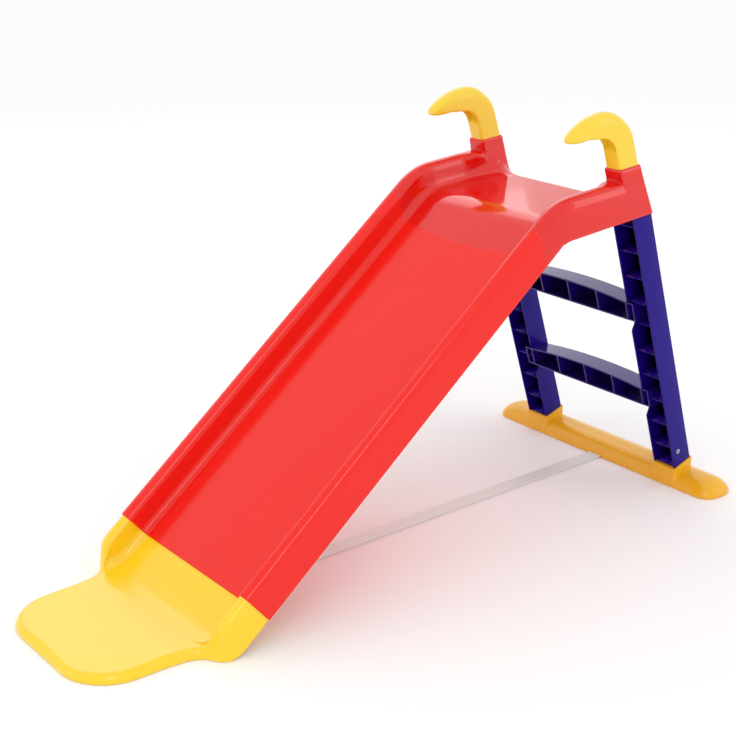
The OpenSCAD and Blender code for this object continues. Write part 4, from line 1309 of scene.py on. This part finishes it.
@dataclass
class LadderLeg:
    """One leg: an open channel with cross ribs, its inner wall notched below each step."""

    channel: Channel
    material: bpy.types.Material
    side: int
    lean: float = 17.85
    depth: float = 49.5
    wall: float = 3.0
    y_in: float = 157.0
    y_out: float = 212.0
    foot: tuple[float, float] = (645.8, 46.5)
    rib_pitch: float = 57.0
    notch: float = 11.0
    step_bottoms: tuple[float, float] = (174.0, 369.0)
    corner: float = 2.2

    def build(self) -> bpy.types.Object:
        """Makes the channel, its ribs and its foot plate.

        Returns:
            The leg.
        """
        name = "left" if self.side > 0 else "right"
        node = f"ladder_leg_{name}"
        shape = Shape(f"leg_{name}_channel")
        length = self._top(0.0)
        shape.grid(np.array([self._section(t) for t in np.linspace(0.0, 1.0, 190)]), flip=self.side > 0)
        places = [3.2, *np.arange(self.rib_pitch - 8.0, length - 20.0, self.rib_pitch)]
        for u in places:
            self._rib(shape, float(u))
        return shape.finish(self.material, [node], wall=self.wall, smooth_angle=40.0)

    def _top(self, d: float) -> float:
        """Length of the leg at a depth, up to the underside of the platform."""
        ch = self.channel
        normal, a = square_to(ch.tilt), math.radians(self.lean)
        under = ch.corner + (ch.platform_n + 0.3) * normal
        start = self._at(0.0, d, 0.0)[[0, 2]]
        return float((under - start) @ normal / (np.array([-math.sin(a), math.cos(a)]) @ normal))

    def _cut(self, u: float) -> float:
        """Depth of the notch in the inner wall's front edge at u."""
        z = self._at(u, 0.0, self.y_in)[2]
        return self.notch * max(float(smooth(z, b - 26.0, b - 9.0) * (1 - smooth(z, b + 2.0, b + 6.0)))
                                for b in self.step_bottoms)

    def _at(self, u: float, d: float, y: float) -> np.ndarray:
        """Point at u along the leg, d from its front and y across."""
        a = math.radians(self.lean)
        back = d - self.depth / 2
        return np.array([self.foot[0] - u * math.sin(a) + back * math.cos(a), self.side * y,
                         self.foot[1] + u * math.cos(a) + back * math.sin(a)])

    def _section(self, share: float) -> np.ndarray:
        """One row round the channel, from the outer wall's front edge to the inner wall's."""
        cut = self._cut(share * self._top(0.0))
        r = self.corner
        turn = np.linspace(0, math.pi / 2, 5)
        points = [(d, self.y_out) for d in (0.0, 0.5, self.depth / 2)]
        points += [(self.depth - r + r * math.sin(t), self.y_out - r + r * math.cos(t)) for t in turn]
        points += [(self.depth - r + r * math.cos(t), self.y_in + r - r * math.sin(t)) for t in turn]
        points += [(d, self.y_in) for d in (self.depth / 2, 0.5 + cut, cut)]
        return np.array([self._at(share * self._top(d), d, y) for d, y in points])

    def _rib(self, shape: Shape, u: float) -> None:
        """One cross rib, a sheet set a little back from the front, thickened with the walls."""
        front, back = 1.4 + self._cut(u), self.depth - 1.5
        near, far = self.y_in + 1.5, self.y_out - 1.5
        corners = [self._at(u, d, y) for d, y in ((front, near), (back, near), (back, far), (front, far))]
        shape.face(shape.mesh.verts.new(Vector(p) * MM) for p in corners)


@dataclass
class FootBeam:
    """The domed beam that the ladder stands on, with a collar round the foot of each leg."""

    material: bpy.types.Material
    height: float = 32.0
    end_r: float = 46.0
    rim_h: float = 3.0
    leg_lean: float = 17.85
    half_depth: float = 28.2
    collar_y: tuple[float, float] = (153.6, 215.4)
    collar_rings: tuple[tuple[float, float, float | None], ...] = (  # growth, depth, level of the flare
        (-1.6, 0.0, None), (-0.8, 0.1, None), (-0.2, 0.5, None), (0.0, 1.3, None), (0.1, 5.0, None),
        (0.3, 0.0, 33.0), (0.8, 0.0, 29.0), (2.2, 0.0, 24.0), (5.5, 0.0, 12.0))
    skirt_drop: float = 6.0
    skirt_tilt: float = 0.1
    front_draft: float = 0.04
    collar_low: float = 4.0
    foot: tuple[float, float] = (645.8, 46.5)

    def build(self) -> bpy.types.Object:
        """Lofts the dome and its two collars.

        Returns:
            The beam.
        """
        low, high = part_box("foot_beam")
        shape = Shape("foot_beam_dome")
        x_mid, half_x = (low.x + high.x) / 2 / MM, (high.x - low.x) / 2 / MM
        half_y = high.y / MM - 0.02
        rows = []
        ends = half_y - self.end_r * (1 - np.cos(np.linspace(0, math.pi / 2, 20)))
        for y in np.concatenate([-ends, np.linspace(-ends[-1], ends[-1], 60)[1:-1], ends[::-1]]):
            t = min(max((abs(y) - half_y + self.end_r) / self.end_r, 0.0), 1.0)
            left, fall = max(1.0 - t**3.6, 0.0) ** (1 / 2.4), max(1.0 - t**1.9, 0.0) ** 0.5
            w, h = max(half_x * left, 0.4), self.rim_h + (self.height - self.rim_h) * max(fall, 0.012)
            u = np.sin(np.linspace(-math.pi / 2, math.pi / 2, 47))
            top = self.rim_h + (h - self.rim_h) * (1 - np.abs(u) ** 2.3) ** (1 / 1.7)
            x = np.concatenate([[x_mid - w], x_mid + w * u, [x_mid + w]])
            z = np.concatenate([[0.0], top, [0.0]])
            rows.append(np.stack([x, np.full_like(x, y), z], 1))
        shape.grid(np.array(rows), flip=True)
        for side in (1, -1):
            self._collar(shape, side, low.x / MM + 0.4)
        return shape.finish(self.material, ["foot_beam"], smooth_angle=40.0)

    def _collar(self, shape: Shape, side: int, x_least: float) -> None:
        """One collar, its top square to the leg and its foot flaring into the dome."""
        a = math.radians(self.leg_lean)
        rings = []
        for grow, below, level in self.collar_rings:
            ring = []
            for x, y in self._rounded(grow):
                z = self.foot[1] + x * math.sin(a) - below
                place = self.foot[0] + x * math.cos(a)
                if level is not None:
                    z = min(z - self.skirt_drop, level + x * self.skirt_tilt)
                ring.append((max(place, x_least + max(0.0, z) * self.front_draft), side * y,
                             max(z, self.collar_low)))
            rings.append(ring)
        rows = shape.grid(np.array(rings), closed=True, flip=side > 0)
        shape.face(rows[0] if side > 0 else rows[0][::-1])

    def _rounded(self, grow: float, corner: float = 4.0) -> list[tuple[float, float]]:
        """Rounded rectangle of the collar in plan, grown on every side."""
        y_mid = sum(self.collar_y) / 2
        hx, hy = self.half_depth + grow, (self.collar_y[1] - self.collar_y[0]) / 2 + grow
        r = max(corner + grow, 1.0)
        points = []
        for k, (sx, sy) in enumerate(((1, 1), (-1, 1), (-1, -1), (1, -1))):
            for a in np.linspace(k * math.pi / 2, (k + 1) * math.pi / 2, 7):
                points.append((sx * (hx - r) + r * math.cos(a), y_mid + sy * (hy - r) + r * math.sin(a)))
        return points


# ---- Studio ---------------------------------------------------------------------------------


@dataclass
class Studio:
    """Pale floor, soft lights and the camera."""

    camera_at: tuple[float, float, float] = (-1.5489, -1.9201, 1.2397)
    azimuth: float = -38.588
    elevation: float = 20.022
    lens: float = 69.742

    def build(self) -> None:
        """Makes the floor, the world, the lights and the camera."""
        bpy.context.scene.view_settings.view_transform = "Standard"
        self._floor()
        self._world()
        self._panel("key", (-1.9, -2.3, 3.0), (0.0, 0.0, 0.35), (0.5, 2.4), 15.0)
        self._panel("side", (2.6, -2.4, 1.7), (0.2, 0.0, 0.4), (0.5, 2.4), 5.0)
        self._panel("back", (1.6, 3.0, 2.6), (0.0, 0.0, 0.3), (2.6, 1.6), 12.0)
        self._panel("fill", (-3.0, 1.2, 1.4), (0.0, 0.0, 0.3), (1.4, 1.8), 3.0)
        data = bpy.data.cameras.new("view")
        data.lens, data.sensor_width, data.clip_end = self.lens, 36.0, 50.0
        camera = bpy.data.objects.new("view", data)
        az, el = math.radians(self.azimuth), math.radians(self.elevation)
        back = Vector((math.sin(az) * math.cos(el), -math.cos(az) * math.cos(el), math.sin(el)))
        camera.location = self.camera_at
        camera.rotation_euler = back.to_track_quat("Z", "Y").to_euler()
        bpy.context.scene.collection.objects.link(camera)
        bpy.context.scene.camera = camera

    def _floor(self) -> None:
        """A wide flat floor, a hair below the slide."""
        size = 30.0
        made = bpy.data.meshes.new("floor")
        made.from_pydata([(-size, -size, 0), (size, -size, 0), (size, size, 0), (-size, size, 0)], [],
                         [(0, 1, 2, 3)])
        made.materials.append(StudioFloor().build())
        floor = bpy.data.objects.new("floor", made)
        floor.location.z = -0.0004
        bpy.context.scene.collection.objects.link(floor)

    def _world(self) -> None:
        """A bright even sky for the soft studio look."""
        world = bpy.data.worlds.new("studio")
        bpy.context.scene.world = world
        world.use_nodes = True
        back = next(n for n in world.node_tree.nodes if n.type == "BACKGROUND")
        back.inputs["Color"].default_value = (1.0, 1.0, 1.0, 1.0)
        back.inputs["Strength"].default_value = 1.0

    def _panel(self, name: str, place: Sequence[float], aim: Sequence[float], size: Sequence[float],
               watts: float) -> None:
        """One soft light panel."""
        data = bpy.data.lights.new(name, "AREA")
        data.shape, data.size, data.size_y, data.energy = "RECTANGLE", size[0], size[1], watts
        light = bpy.data.objects.new(name, data)
        light.location = place
        light.rotation_euler = (Vector(place) - Vector(aim)).to_track_quat("Z", "Y").to_euler()
        bpy.context.scene.collection.objects.link(light)


def carried(finishes: Finishes) -> None:
    """Dresses the CAD nodes that stay as they are."""
    shown = {"tie_bar": finishes.tie}
    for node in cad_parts:
        if "screw" in node:
            shown[node] = finishes.screw
    for node, material in shown.items():
        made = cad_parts[node]
        made.data.materials.clear()
        made.data.materials.append(material)
        log.info("%s keeps its packed shape", node)


def main() -> None:
    """Builds every sub-assembly in order."""
    logging.basicConfig(level=logging.INFO, format="%(name)s: %(message)s")
    finishes = Finishes()
    channel = Channel()
    Studio().build()
    Chute(channel, finishes).build()
    Platform(channel, finishes).build()
    ExitLip(channel, finishes).build()
    for side in (1, -1):
        Handle(channel, finishes, side).build()
    for side in (1, -1):
        LadderLeg(channel, finishes.ladder, side).build()
    for name in ("lower", "upper"):
        MouldedCopy(f"step_{name}", f"tread_{name}", Slot.STEP, finishes.step, 0.6).build()
    FootBeam(finishes.beam).build()
    carried(finishes)


if __name__ == "__main__":
    main()
